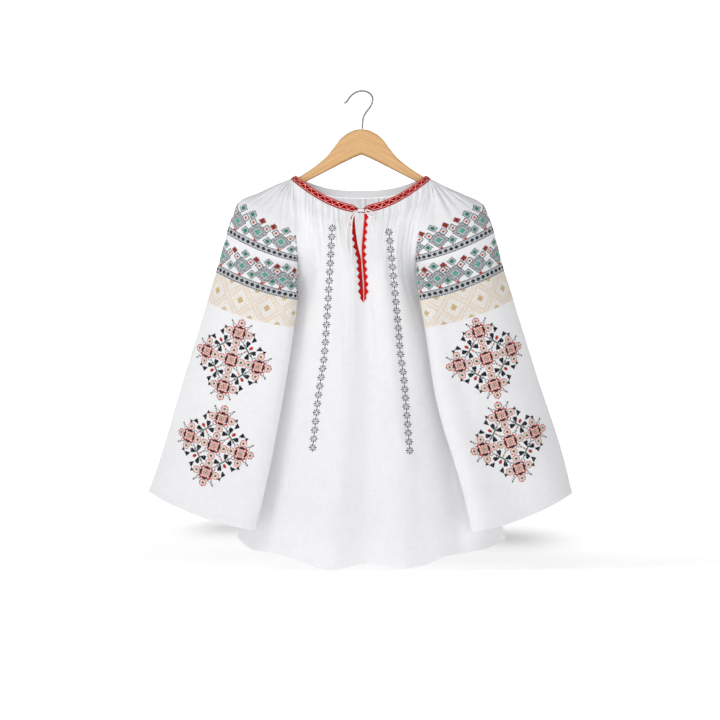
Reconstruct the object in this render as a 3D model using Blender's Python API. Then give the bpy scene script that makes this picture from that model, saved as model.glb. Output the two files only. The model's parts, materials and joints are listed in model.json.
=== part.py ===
"""Romanian ie blouse on a wooden hanger, modelled in metres with +Z up.

The origin is the inside top of the hanger's hook. The blouse hangs in the XZ plane, its front
towards -Y. Every cloth piece is a sheet of points worked out from the tables below, given a
thin wall. The tables are in millimetres, as a maker would measure the garment.
"""

import math

import bpy
import numpy as np
from mathutils import Vector
from mathutils.bvhtree import BVHTree

MM = 0.001

# Cloth and seams
WALL = 1.2
SEAM_GAP = 0.3
SEAM_SET = 0.5 * SEAM_GAP

# Neck ring, at the lower edge of the neckband
NECK_CENTRE_X = -2.0
NECK_HALF_WIDTH = 115.5
NECK_FRONT_DEPTH = 34.0
NECK_BACK_DEPTH = 30.0
NECK_SIDE_Z = -143.0
NECK_FRONT_DROP = 57.0
NECK_BACK_DROP = 30.0
NECK_FRONT_POWER = 1.8
NECK_BACK_POWER = 2.6
RAGLAN_NECK_ANGLE = 74.0
NECK_EDGE_GAP = 0.9
NECK_REACH = 0.3
SLEEVE_NECK_REACH = 0.2

# Neckband
BAND_HALF_WIDTH = 107.0
BAND_SIDE_Z = -137.5
BAND_FRONT_DROP = 50.0
BAND_BACK_DROP = 24.0
BAND_LEAN = 3.0
BAND_WALL = 1.5
BAND_END_DROOP = 6.0
BAND_END_REACH = 9.0
BAND_END_GAP = 1.2
BAND_COLUMNS = 64
BAND_ROWS = 2

# Armpits, where the raglan seams, the underarm seam and the side seam meet
ARMPIT_Z = -285.0
ARMPIT_CLEARANCE = 0.8
ARMPIT_TUCK = 6
BODY_TUCK = 10

# How flat the body's front and back are before they turn to the sides
BODY_BOW = 2.6
SIDE_SETTLE = 100.0

# Slit and its trim
SLIT_END_Z = -337.0
TRIM_BASE = 4.0
TRIM_TOOTH = 3.6
TRIM_PITCH = 12.2
TRIM_WALL = 0.8
TRIM_END_Z = -347.0
TRIM_SET_BACK = 0.3
TRIM_LIFT = 0.45

# Gathers at the neck and how far down they reach
FRONT_GATHERS = 22
BACK_GATHERS = 20
SLEEVE_GATHERS = 5
COLUMNS_PER_GATHER = 3
GATHER_DEPTH = 2.1
SLEEVE_GATHER_DEPTH = 1.5
SHOULDER_REACH = 0.10

# Hanger and hook
HANGER_THICKNESS = 12.0
HANGER_SIDES = 10
HOOK_WIRE = 3.0
HOOK_SEAT_GAP = 0.3

# Tie cord
TIE_DIAMETER = 2.6

# Rows of every cloth piece between the neck and the armpit, as shares of that length
RAGLAN_SHARES = (0.0, 0.09, 0.19, 0.31, 0.45, 0.61, 0.80, 1.0)
# Rows of the body below the armpit and of the sleeve below the armpit
BODY_SHARES = (0.0, 0.03, 0.107, 0.19, 0.28, 0.38, 0.49, 0.60, 0.71, 0.82, 0.92, 1.0)
SLEEVE_SHARES = (0.0, 0.035, 0.08, 0.14, 0.22, 0.31, 0.41, 0.51, 0.61, 0.71, 0.80, 0.88, 0.95, 1.0)
SLEEVE_COLUMNS = 30

# Raglan seams: share of the way down, x on the left and right, y in front and behind. The last
# three columns are the y that the body and the sleeve lean towards a little way off the seam.
RAGLAN_SEAMS = {
    "share": (0.00, 0.20, 0.45, 0.70, 0.90, 1.00),
    "left_x": (-113.0, -113.2, -110.0, -107.6, -106.6, -106.0),
    "right_x": (109.0, 104.8, 95.5, 90.5, 89.0, 89.5),
    "front_y": (-9.4, -20.0, -28.0, -27.0, -13.0, 0.0),
    "back_y": (8.3, 20.0, 30.0, 30.0, 15.0, 0.0),
    "body_y": (9.0, 16.0, 19.0, 17.0, 12.0, 8.0),
    "sleeve_front_y": (-9.0, -16.0, -20.0, -20.0, -20.0, -20.0),
    "sleeve_back_y": (8.0, 16.0, 22.0, 18.0, 3.0, -8.0),
}

# Shoulder line and outer edge of the sleeve head, by the same shares
SLEEVE_HEADS = {
    "share": (0.00, 0.20, 0.42, 0.62, 0.80, 1.00),
    "left_x": (-117.5, -138.0, -172.0, -201.5, -214.5, -225.0),
    "left_z": (-143.0, -151.0, -166.8, -180.0, -207.0, -240.0),
    "right_x": (113.5, 135.0, 167.0, 198.0, 209.5, 219.5),
    "right_z": (-143.0, -154.5, -168.5, -184.0, -207.0, -237.0),
    "bulge": (0.0, 6.0, 13.0, 20.0, 24.0, 26.0),
    "sag": (0.0, 0.0, 2.0, 4.0, 6.0, 7.0),
}

# Sleeve tube below the armpit: inner and outer edges, how far forward the inner edge hangs,
# half depths in front and behind, and the sag of a row between its two edges
SLEEVE_TUBES = {
    "share": (0.00, 0.05, 0.11, 0.24, 0.51, 0.89, 1.00),
    "left_inner_x": (-106.0, -105.7, -105.6, -112.0, -130.4, -163.5, -175.4),
    "left_inner_z": (-285.0, -306.0, -331.0, -389.0, -507.5, -672.5, -718.7),
    "left_outer_x": (-225.0, -230.0, -236.6, -255.3, -290.0, -336.0, -351.0),
    "left_outer_z": (-240.0, -260.0, -284.3, -348.3, -461.0, -615.0, -658.5),
    "right_inner_x": (89.5, 90.5, 93.0, 103.0, 122.0, 169.0, 179.5),
    "right_inner_z": (-285.0, -305.0, -328.0, -387.0, -507.5, -672.5, -722.0),
    "right_outer_x": (219.5, 224.0, 229.4, 248.8, 286.0, 335.0, 345.7),
    "right_outer_z": (-237.0, -256.0, -278.2, -341.0, -461.0, -615.0, -661.0),
    "inner_y": (0.0, -22.0, -30.0, -33.0, -38.0, -50.0, -53.0),
    "sleeve_front_y": (-20.0, -24.0, -30.0, -33.0, -38.0, -50.0, -53.0),
    "sleeve_back_y": (-8.0, -17.0, -27.0, -33.0, -38.0, -50.0, -53.0),
    "outer_y": (0.0, 0.0, -1.0, -3.0, -5.0, -8.0, -9.0),
    "front_bulge": (26.0, 27.0, 28.0, 28.0, 26.0, 24.0, 23.0),
    "back_bulge": (26.0, 22.0, 20.0, 18.0, 17.0, 17.0, 17.0),
    "sag": (7.0, 7.0, 7.0, 7.0, 8.0, 10.0, 10.0),
}

# Body below the armpit, by height: side edges and half depths
BODY_SIDES = {
    "z": (-785.0, -740.0, -700.0, -640.0, -500.0, -400.0, -345.0, -325.0, -300.0, -285.0),
    "left_x": (-207.0, -205.5, -197.0, -179.0, -150.0, -131.0, -119.0, -112.5, -106.2, -106.0),
    "right_x": (240.0, 237.5, 227.0, 205.0, 152.0, 124.0, 106.0, 97.5, 90.0, 89.5),
    "side_y": (8.0, 8.0, 8.0, 8.0, 8.0, 8.0, 7.0, 6.0, 2.0, 0.0),
    "front_depth": (58.0, 58.0, 57.0, 56.0, 53.0, 51.0, 50.0, 50.0, 49.5, 49.0),
    "back_depth": (54.0, 54.0, 53.0, 52.0, 49.0, 47.0, 46.0, 46.0, 45.5, 45.0),
}

# Hem of the front and of the back: x of a point and its height
FRONT_HEM = {
    "x": (-207.0, -189.0, -144.0, -113.0, -66.0, -36.0, 5.0, 43.0, 71.0, 106.0, 142.0, 175.0, 205.0, 240.0),
    "z": (-735.0, -750.0, -759.0, -768.0, -783.0, -783.0, -774.0, -780.0, -782.0, -776.0, -761.0,
          -758.0, -752.0, -737.0),
}
BACK_HEM = {
    "x": (-207.0, -150.0, -90.0, -30.0, 30.0, 90.0, 150.0, 200.0, 240.0),
    "z": (-735.0, -757.0, -768.0, -776.0, -770.0, -777.0, -764.0, -755.0, -737.0),
}

# Slit edges by height
SLIT_EDGES = {
    "z": (-337.0, -326.0, -293.0, -272.0, -260.0, -227.0, -200.0),
    "left_x": (2.0, 1.6, -0.6, -2.5, -5.6, -10.7, -12.5),
    "right_x": (2.0, 2.2, 0.2, -1.3, -1.6, 0.8, 2.6),
}
# Centre line of the front below the slit
FRONT_CENTRE = {"z": (-785.0, -500.0, -337.0), "x": (5.0, 4.0, 2.0)}

# Long folds: where they lie from side to side (-1 to 1) at the chest and at the hem, how far
# they stand out at the chest and at the hem, and their half width as the same share
FRONT_FOLDS = (
    {"chest": -0.93, "hem": -0.86, "chest_out": -2.0, "hem_out": -5.0, "width": 0.08},
    {"chest": -0.80, "hem": -0.72, "chest_out": -4.0, "hem_out": 4.0, "width": 0.10},
    {"chest": -0.66, "hem": -0.55, "chest_out": 4.0, "hem_out": -5.0, "width": 0.10},
    {"chest": -0.42, "hem": -0.42, "chest_out": -2.5, "hem_out": -2.0, "width": 0.08},
    {"chest": -0.25, "hem": -0.25, "chest_out": 4.5, "hem_out": 8.0, "width": 0.14},
    {"chest": 0.06, "hem": 0.00, "chest_out": -5.5, "hem_out": -7.0, "width": 0.13},
    {"chest": 0.40, "hem": 0.28, "chest_out": 5.0, "hem_out": 8.0, "width": 0.13},
    {"chest": 0.66, "hem": 0.50, "chest_out": 3.0, "hem_out": 3.0, "width": 0.10},
    {"chest": 0.88, "hem": 0.68, "chest_out": -4.5, "hem_out": -6.0, "width": 0.10},
    {"chest": 0.98, "hem": 0.82, "chest_out": 0.0, "hem_out": 4.0, "width": 0.09},
)
BACK_FOLDS = (
    {"chest": -0.85, "hem": -0.80, "chest_out": -3.0, "hem_out": -5.0, "width": 0.10},
    {"chest": -0.60, "hem": -0.62, "chest_out": 4.0, "hem_out": 6.0, "width": 0.12},
    {"chest": -0.34, "hem": -0.38, "chest_out": -4.0, "hem_out": -6.0, "width": 0.12},
    {"chest": -0.08, "hem": -0.12, "chest_out": 4.0, "hem_out": 7.0, "width": 0.12},
    {"chest": 0.20, "hem": 0.14, "chest_out": -4.5, "hem_out": -6.0, "width": 0.12},
    {"chest": 0.45, "hem": 0.40, "chest_out": 3.0, "hem_out": 7.0, "width": 0.12},
    {"chest": 0.70, "hem": 0.66, "chest_out": -3.5, "hem_out": -6.0, "width": 0.11},
    {"chest": 0.88, "hem": 0.86, "chest_out": 2.0, "hem_out": 4.0, "width": 0.07},
)
# Sleeve folds: place round the sleeve (0 front seam, 0.5 outer edge, 1 back seam)
SLEEVE_FOLDS = (
    {"top": 0.10, "cuff": 0.12, "top_out": 2.0, "cuff_out": 4.0, "width": 0.05},
    {"top": 0.21, "cuff": 0.24, "top_out": -2.0, "cuff_out": -3.0, "width": 0.05},
    {"top": 0.33, "cuff": 0.36, "top_out": 1.6, "cuff_out": 3.5, "width": 0.06},
    {"top": 0.43, "cuff": 0.45, "top_out": -1.5, "cuff_out": -2.0, "width": 0.04},
    {"top": 0.60, "cuff": 0.60, "top_out": -2.0, "cuff_out": -3.0, "width": 0.05},
    {"top": 0.72, "cuff": 0.72, "top_out": 2.5, "cuff_out": 4.0, "width": 0.06},
    {"top": 0.86, "cuff": 0.86, "top_out": -2.0, "cuff_out": -3.0, "width": 0.05},
)

# Hanger outline from its middle outwards: distance from the middle, top and bottom height
HANGER_OUTLINE = {
    "reach": (0.0, 8.0, 14.0, 20.0, 28.0, 36.0, 46.0, 57.0, 71.0, 85.0, 99.0, 106.0, 115.0),
    "top": (-61.0, -61.5, -63.2, -66.0, -71.0, -78.5, -92.0, -105.5, -118.0, -128.3, -137.2, -141.2,
            -147.5),
    "bottom": (-103.0, -106.0, -108.5, -111.5, -115.3, -119.3, -124.4, -130.0, -137.2, -144.2,
               -151.4, -155.0, -160.5),
}
HANGER_CENTRE_X = -1.0
HANGER_DEPTH = 15.0
HANGER_CLEARANCE = 3.0
HANGER_REACH_LEFT = 196.0
HANGER_REACH_RIGHT = 191.0

# Hook wire from the wood up and round, x and z of its centre line
HOOK_ROUTE = {
    "x": (0.7, 0.9, 1.5, 3.6, 7.5, 11.8, 15.2, 17.3, 17.7, 16.2, 12.6, 7.4, 1.6, -4.4, -10.2,
          -15.4, -19.6, -22.6, -24.9, -27.2, -29.8),
    "z": (-60.4, -54.0, -46.0, -38.6, -32.2, -26.8, -21.4, -15.6, -10.6, -6.0, -1.9, 0.9, 2.0, 1.6,
          -0.4, -3.8, -7.8, -12.0, -15.2, -17.2, -17.6),
}

# Tie cord: free ends and the small loop, x y z of each point
TIE_STRANDS = {
    "tie_strand_outer": (
        (-8.9, -36.4, -196.3), (-13.6, -38.4, -199.4), (-17.4, -40.7, -204.2), (-20.6, -42.6, -210.2),
        (-23.1, -44.3, -216.8), (-24.4, -45.7, -226.1), (-25.4, -47.4, -235.7), (-25.6, -49.7, -249.4),
        (-24.2, -51.9, -258.4), (-21.6, -53.9, -266.0),
    ),
    "tie_strand_inner": (
        (-6.5, -39.2, -197.9), (-11.8, -41.4, -201.8), (-15.0, -43.4, -207.2), (-16.4, -45.1, -214.3),
        (-17.3, -47.0, -223.8), (-17.8, -48.7, -235.3), (-17.8, -51.2, -250.0), (-17.4, -53.2, -262.0),
        (-17.5, -54.6, -276.0),
    ),
    "tie_loop": (
        (4.8, -37.8, -196.8), (8.4, -39.7, -201.0), (12.6, -41.4, -205.2), (16.8, -42.0, -207.0),
        (19.8, -41.4, -205.4), (19.4, -39.8, -202.0), (15.0, -37.8, -198.2), (9.6, -36.3, -195.6),
        (5.1, -35.8, -194.9),
    ),
}
KNOT_CENTRE = (-1.8, -36.9, -196.0)
KNOT_HALF_SIZE = (6.4, 3.2, 3.0)
KNOT_RINGS = 6
KNOT_SIDES = 12

COLOURS = {
    "linen": ((0.86, 0.86, 0.88, 1.0), 0.85, 0.0),
    "band_red": ((0.62, 0.02, 0.02, 1.0), 0.75, 0.0),
    "tie_white": ((0.88, 0.87, 0.85, 1.0), 0.7, 0.0),
    "wood": ((0.62, 0.38, 0.17, 1.0), 0.4, 0.0),
    "steel": ((0.5, 0.5, 0.5, 1.0), 0.25, 1.0),
}


# Small tools

def clear_scene():
    """Remove every object that the file started with."""
    for item in list(bpy.data.objects):
        bpy.data.objects.remove(item, do_unlink=True)


def material(name):
    """A Principled surface with the named colour, roughness and metallic value."""
    colour, roughness, metallic = COLOURS[name]
    made = bpy.data.materials.new(name)
    made.use_nodes = True
    shader = made.node_tree.nodes["Principled BSDF"]
    shader.inputs["Base Color"].default_value = colour
    shader.inputs["Roughness"].default_value = roughness
    shader.inputs["Metallic"].default_value = metallic
    return made


def smooth(keys, values, at):
    """Read a table at any place, on a smooth curve through its rows (Catmull-Rom tangents)."""
    keys = np.asarray(keys, dtype=float)
    values = np.asarray(values, dtype=float)
    at = np.clip(np.asarray(at, dtype=float), keys[0], keys[-1])
    slopes = np.gradient(values, keys)
    low = np.clip(np.searchsorted(keys, at, side="right") - 1, 0, len(keys) - 2)
    span = keys[low + 1] - keys[low]
    share = (at - keys[low]) / span
    start = values[low] * (1 + 2 * share) * (1 - share) ** 2
    end = values[low + 1] * share ** 2 * (3 - 2 * share)
    lean = slopes[low] * span * share * (1 - share) ** 2
    lean_end = slopes[low + 1] * span * share ** 2 * (share - 1)
    return start + end + lean + lean_end


def ease(share):
    """0 to 1 with a level start and end."""
    share = np.clip(share, 0.0, 1.0)
    return share * share * (3 - 2 * share)


def mix(start, end, share):
    """The point that lies the given share of the way from start to end."""
    return start + (end - start) * share


def unit(vectors):
    """Vectors scaled to length one."""
    return vectors / np.maximum(np.linalg.norm(vectors, axis=-1, keepdims=True), 1e-9)


def fold_height(folds, place, share, start_key, end_key):
    """Sum of soft ridges and troughs, each a bell across the cloth that drifts as it runs down."""
    total = 0.0
    for fold in folds:
        middle = mix(fold[start_key], fold[end_key], share)
        height = mix(fold[start_key + "_out"], fold[end_key + "_out"], share)
        total = total + height * np.exp(-((place - middle) / fold["width"]) ** 2)
    return total


# Neck

def neck_ring(angle, side_y):
    """Lower edge of the neckband at an angle from the middle, in degrees, negative to the left.

    The plan is half an ellipse, and the height rises from the middle to the shoulders by a power
    of the distance from the middle. side_y is -1 in front and 1 behind.
    """
    turn = np.radians(angle)
    across = np.sin(turn)
    depth = np.where(side_y < 0, NECK_FRONT_DEPTH, NECK_BACK_DEPTH)
    drop = np.where(side_y < 0, NECK_FRONT_DROP, NECK_BACK_DROP)
    power = np.where(side_y < 0, NECK_FRONT_POWER, NECK_BACK_POWER)
    height = NECK_SIDE_Z - drop * (1 - np.abs(across) ** power)
    x = NECK_CENTRE_X + NECK_HALF_WIDTH * across
    y = side_y * depth * np.cos(turn)
    return np.stack([x, y, height], axis=-1)


def band_top(angle, side_y):
    """Upper edge of the neckband, leaning in from the lower edge and drooping to the tie."""
    turn = np.radians(angle)
    across = np.sin(turn)
    depth = np.where(side_y < 0, NECK_FRONT_DEPTH, NECK_BACK_DEPTH) - BAND_LEAN
    drop = np.where(side_y < 0, BAND_FRONT_DROP, BAND_BACK_DROP)
    power = np.where(side_y < 0, NECK_FRONT_POWER, NECK_BACK_POWER)
    x = NECK_CENTRE_X + BAND_HALF_WIDTH * across
    height = BAND_SIDE_Z - drop * (1 - np.abs(across) ** power)
    droop = BAND_END_DROOP * np.exp(-((x - NECK_CENTRE_X) / BAND_END_REACH) ** 2)
    height = height - np.where(side_y < 0, droop, 0.0)
    return np.stack([x, side_y * depth * np.cos(turn), height], axis=-1)


# Body panels

def gather_wave(place, count, share_down):
    """Gathers of uneven spacing that deepen just under the band and fade further down."""
    warped = place + 0.018 * np.sin(place * 9.0 + 0.7) + 0.011 * np.sin(place * 21.0 + 2.0)
    wave = np.cos(np.pi * count * warped)
    uneven = 0.75 + 0.25 * np.sin(place * 13.0 + 1.0)
    reach = 0.55 + 0.2 * np.sin(place * 17.0)
    fade = np.clip(1.0 - share_down / reach, 0.0, 1.0)
    rise = 0.55 + 0.45 * ease(share_down / 0.12)
    return GATHER_DEPTH * wave * uneven * fade * rise


def seam_x(side, share):
    """x of a raglan seam at a share of the way from the neck to the armpit."""
    return smooth(RAGLAN_SEAMS["share"], RAGLAN_SEAMS[side + "_x"], share)


def seam_z(share, side_y):
    """Height of a raglan seam at that share."""
    start = neck_ring(RAGLAN_NECK_ANGLE, side_y)[..., 2]
    return mix(start, ARMPIT_Z, share)


def middle_x(height, half):
    """x of the front's middle: a slit edge above the slit's end, the centre line below."""
    edge = smooth(SLIT_EDGES["z"], SLIT_EDGES[half + "_x"], height)
    centre = smooth(FRONT_CENTRE["z"], FRONT_CENTRE["x"], height)
    return np.where(height > SLIT_END_Z, edge, centre)


def across_body(place, left, middle, right):
    """x at a place from -1 to 1 between the left edge, the middle and the right edge."""
    return np.where(place < 0, mix(middle, left, -place), mix(middle, right, place))


def upper_body(place, share, side_y, half):
    """Panel points between the neck ring and the armpit."""
    left = seam_x("left", share)
    right = seam_x("right", share)
    neck_left = seam_x("left", 0.0)
    neck_right = seam_x("right", 0.0)
    front = side_y < 0
    neck_middle = middle_x(-200.0, half) if front else NECK_CENTRE_X
    ring_x = across_body(place, neck_left, neck_middle, neck_right)
    angle = np.degrees(np.arcsin(np.clip((ring_x - NECK_CENTRE_X) / NECK_HALF_WIDTH, -1, 1)))
    ring = neck_ring(angle, side_y)
    height = mix(ring[..., 2], ARMPIT_Z, share)
    middle = middle_x(height, half) if front else NECK_CENTRE_X
    x = across_body(place, left, middle, right)
    edge_y = smooth(RAGLAN_SEAMS["share"], RAGLAN_SEAMS["front_y" if front else "back_y"], share)
    chest = BODY_SIDES["front_depth" if front else "back_depth"][-1]
    neck_depth = NECK_FRONT_DEPTH if front else NECK_BACK_DEPTH
    depth = mix(neck_depth, chest, share)
    bow = 1 - np.abs(place) ** BODY_BOW
    lean_y = side_y * smooth(RAGLAN_SEAMS["share"], RAGLAN_SEAMS["body_y"], share)
    y = lean_y + (side_y * depth - lean_y) * bow + (edge_y - lean_y) * np.abs(place) ** BODY_TUCK
    near_neck = 1 - ease(share / NECK_REACH)
    x = mix(x, ring[..., 0], near_neck)
    y = mix(y, ring[..., 1], near_neck)
    return np.stack([x, y, height], axis=-1)


def lower_body(place, share, side_y, half):
    """Panel points between the armpit and the hem."""
    front = side_y < 0
    hem = FRONT_HEM if front else BACK_HEM
    hem_left = BODY_SIDES["left_x"][0]
    hem_right = BODY_SIDES["right_x"][0]
    hem_middle = FRONT_CENTRE["x"][0] if front else NECK_CENTRE_X
    hem_x = across_body(place, hem_left, hem_middle, hem_right)
    hem_z = smooth(hem["x"], hem["z"], hem_x)
    height = mix(ARMPIT_Z, hem_z, share)
    left = smooth(BODY_SIDES["z"], BODY_SIDES["left_x"], height)
    right = smooth(BODY_SIDES["z"], BODY_SIDES["right_x"], height)
    middle = middle_x(height, half) if front else mix(NECK_CENTRE_X, 6.0, share)
    x = across_body(place, left, middle, right)
    depth = smooth(BODY_SIDES["z"], BODY_SIDES["front_depth" if front else "back_depth"], height)
    side = smooth(BODY_SIDES["z"], BODY_SIDES["side_y"], height)
    bow = 1 - np.abs(place) ** BODY_BOW
    chest_y = side_y * RAGLAN_SEAMS["body_y"][-1]
    lean_y = mix(chest_y, BODY_SIDES["side_y"][0], ease((ARMPIT_Z - height) / SIDE_SETTLE))
    y = lean_y + (side_y * depth - lean_y) * bow + (side - lean_y) * np.abs(place) ** BODY_TUCK
    return np.stack([x, y, height], axis=-1)


def body_point(place, zone, share, side_y, half="left"):
    """A point of the front (side_y -1) or back (side_y 1), folds and gathers included."""
    folds = FRONT_FOLDS if side_y < 0 else BACK_FOLDS
    count = FRONT_GATHERS if side_y < 0 else BACK_GATHERS
    edge_fade = np.clip((1 - np.abs(place)) / 0.10, 0, 1)
    if zone == "upper":
        point = upper_body(place, share, side_y, half)
        out = gather_wave(place, count, share) * edge_fade
        if side_y < 0:
            out = out * (0.15 + 0.85 * ease((np.abs(place) - 0.07) / 0.10))
        out = out + fold_height(folds, place, 0.0, "chest", "hem") * ease(share) * edge_fade
    else:
        point = lower_body(place, share, side_y, half)
        out = fold_height(folds, place, share, "chest", "hem") * edge_fade
    point = point.copy()
    point[..., 1] += side_y * out
    return point


# Sleeves

def sleeve_section(around, zone, share, side):
    """A point of a sleeve before folds. around is 0 at the front seam, 0.5 outside, 1 behind.

    A row runs from the inner edge to the outer edge and back, as a flattened ellipse: the way
    across is (1 - cos) / 2 of the turn and the depth is the half depth times its sine. At the
    neck the way across is the sine of half the turn, so that the cloth leaves the raglan seams
    flat and is round only over the shoulder.
    """
    turn = 2 * np.pi * around
    across = (1 - np.cos(turn)) / 2
    in_front = around < 0.5
    if zone == "upper":
        across = mix(np.sin(turn / 2), across, ease(share))
        seam = {key: smooth(RAGLAN_SEAMS["share"], RAGLAN_SEAMS[key], share) for key in RAGLAN_SEAMS}
        head = {key: smooth(SLEEVE_HEADS["share"], SLEEVE_HEADS[key], share) for key in SLEEVE_HEADS}
        inner_x = seam[side + "_x"]
        inner_z = np.where(in_front, seam_z(share, -1.0), seam_z(share, 1.0))
        inner_y = np.where(in_front, seam["front_y"], seam["back_y"])
        lean_y = np.where(in_front, seam["sleeve_front_y"], seam["sleeve_back_y"])
        outer_x, outer_y, outer_z = head[side + "_x"], 0.0, head[side + "_z"]
        bulge, sag = head["bulge"], head["sag"]
    else:
        tube = {key: smooth(SLEEVE_TUBES["share"], SLEEVE_TUBES[key], share) for key in SLEEVE_TUBES}
        inner_x, inner_y, inner_z = tube[side + "_inner_x"], tube["inner_y"], tube[side + "_inner_z"]
        lean_y = np.where(in_front, tube["sleeve_front_y"], tube["sleeve_back_y"])
        outer_x, outer_y, outer_z = tube[side + "_outer_x"], tube["outer_y"], tube[side + "_outer_z"]
        bulge, sag = np.where(in_front, tube["front_bulge"], tube["back_bulge"]), tube["sag"]
    x = mix(inner_x, outer_x, across)
    z = mix(inner_z, outer_z, across) - sag * np.sin(turn) ** 2
    y = mix(lean_y, outer_y, across) - bulge * np.sin(turn)
    y = y + (inner_y - lean_y) * (1 - across) ** ARMPIT_TUCK
    return np.stack(np.broadcast_arrays(x, y, z), axis=-1)


def sleeve_point(around, zone, share, side):
    """A point of a sleeve: its section, fitted to the neck ring at the top, with its folds."""
    point = sleeve_section(around, zone, share, side)
    in_front = around < 0.5
    shoulder = np.exp(-((around - 0.5) / SHOULDER_REACH) ** 2)
    if zone == "upper":
        toward = -1.0 if side == "left" else 1.0
        angle = toward * mix(RAGLAN_NECK_ANGLE, 90.0, 1 - np.abs(1 - 2 * around))
        ring = neck_ring(angle, np.where(in_front, -1.0, 1.0))
        misfit = ring - sleeve_section(around, zone, np.zeros_like(share), side)
        point = point + misfit * (1 - ease(share / SLEEVE_NECK_REACH))[..., None]
        out = SLEEVE_GATHER_DEPTH * np.cos(2 * np.pi * SLEEVE_GATHERS * around)
        out = out * np.clip(1 - share, 0, 1) ** 0.7 * ease((share - 0.06) / 0.35)
        out = out + fold_height(SLEEVE_FOLDS, around, 0.0, "top", "cuff") * ease(share)
        out = out * (1 - shoulder)
    else:
        out = fold_height(SLEEVE_FOLDS, around, share, "top", "cuff")
        out = out * (1 - (1 - share) ** 3 * shoulder)
    edge_fade = np.clip(np.minimum(around, 1 - around) / 0.06, 0, 1)
    point[..., 1] += np.where(in_front, -1.0, 1.0) * out * edge_fade
    return point


# Walls from sheets of points

def sheet_normals(points, faces):
    """Vertex normals as the sum of the normals of the faces round each vertex."""
    normals = np.zeros_like(points)
    for face in faces:
        corners = points[list(face)]
        centre = corners.mean(axis=0)
        around = np.roll(corners, -1, axis=0)
        normal = np.cross(corners - centre, around - centre).sum(axis=0)
        for index in face:
            normals[index] += normal
    return unit(normals)


def rim_edges(faces):
    """Edges that belong to one face only, in that face's direction."""
    seen = {}
    for face in faces:
        for start, end in zip(face, face[1:] + face[:1]):
            seen[(start, end)] = True
    return [edge for edge in seen if (edge[1], edge[0]) not in seen]


def make_wall(name, points, faces, normals, thickness, surface):
    """A closed thin wall: the sheet moved out and in by half its thickness, joined at its rim."""
    count = len(points)
    outer = points + normals * thickness / 2
    inner = points - normals * thickness / 2
    all_faces = [tuple(face) for face in faces]
    all_faces += [tuple(index + count for index in reversed(face)) for face in faces]
    for start, end in rim_edges(faces):
        all_faces.append((end, start, start + count, end + count))
    mesh = bpy.data.meshes.new(name)
    mesh.from_pydata((np.vstack([outer, inner]) * MM).tolist(), [], all_faces)
    mesh.validate()
    mesh.materials.append(surface)
    mesh.shade_smooth()
    mesh.set_sharp_from_angle(angle=math.radians(50))
    made = bpy.data.objects.new(name, mesh)
    bpy.context.collection.objects.link(made)
    return made


class Sheet:
    """Points and faces of one cloth piece, with the vertex numbers along its edges."""

    def __init__(self):
        self.points = []
        self.faces = []
        self.rows = []

    def add_row(self, points):
        """Add a row of points and return their vertex numbers."""
        first = len(self.points)
        self.points.extend(points)
        self.rows.append(list(range(first, first + len(points))))
        return self.rows[-1]

    def halves(self, corners):
        """The two triangles of a four-sided cell, cut along its shorter diagonal."""
        a, b, c, d = corners
        first = np.linalg.norm(self.points[a] - self.points[c])
        second = np.linalg.norm(self.points[b] - self.points[d])
        return [(a, b, c), (a, c, d)] if first <= second else [(a, b, d), (b, c, d)]

    def join(self, upper, lower, flip):
        """Faces between two rows of equal count, or from a row to one with half its cells."""
        cells = []
        if len(upper) == len(lower):
            for i in range(len(upper) - 1):
                cells += self.halves((upper[i], upper[i + 1], lower[i + 1], lower[i]))
        else:
            for i in range(len(lower) - 1):
                a, b, c = upper[2 * i: 2 * i + 3]
                cells += [(a, b, lower[i]), (b, lower[i + 1], lower[i]), (b, c, lower[i + 1])]
        if flip:
            cells = [tuple(reversed(cell)) for cell in cells]
        self.faces.extend(cells)

    def finish(self):
        """Turn the lists into arrays and work out the normals."""
        self.points = np.array(self.points, dtype=float)
        self.normals = sheet_normals(self.points, self.faces)


def panel_rows():
    """Every row of a body panel as its zone and its share of that zone."""
    rows = [("upper", share) for share in RAGLAN_SHARES]
    return rows + [("lower", share) for share in BODY_SHARES[1:]]


def body_sheet(side_y, gathers):
    """Front or back as a sheet. The front's middle column is doubled down to the slit's end."""
    sheet = Sheet()
    fine = gathers * COLUMNS_PER_GATHER
    coarse = fine // 2
    slit_row = len(RAGLAN_SHARES) + BODY_SHARES.index(0.107) - 1
    halves = (("left", -1.0, 0.0), ("right", 0.0, 1.0)) if side_y < 0 else (("left", -1.0, 1.0),)
    previous = None
    sheet.left, sheet.right = [], []
    for index, (zone, share) in enumerate(panel_rows()):
        columns = fine if index < len(RAGLAN_SHARES) else coarse
        row = []
        for half, start, end in halves:
            cells = columns // len(halves)
            places = np.linspace(start, end, cells + 1)
            shares = np.full_like(places, share)
            points = body_point(places, zone, shares, side_y, half)
            if index == 0:
                points = points - np.array([0, 0, NECK_EDGE_GAP])
            if half == "right" and index >= slit_row:
                numbers = [row[0][-1]] + sheet.add_row(points[1:])
            else:
                numbers = sheet.add_row(points)
            row.append(numbers)
        if previous is not None:
            for upper, lower in zip(previous, row):
                sheet.join(upper, lower, side_y < 0)
        sheet.left.append(row[0][0])
        sheet.right.append(row[-1][-1])
        previous = row
    sheet.finish()
    return sheet


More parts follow.
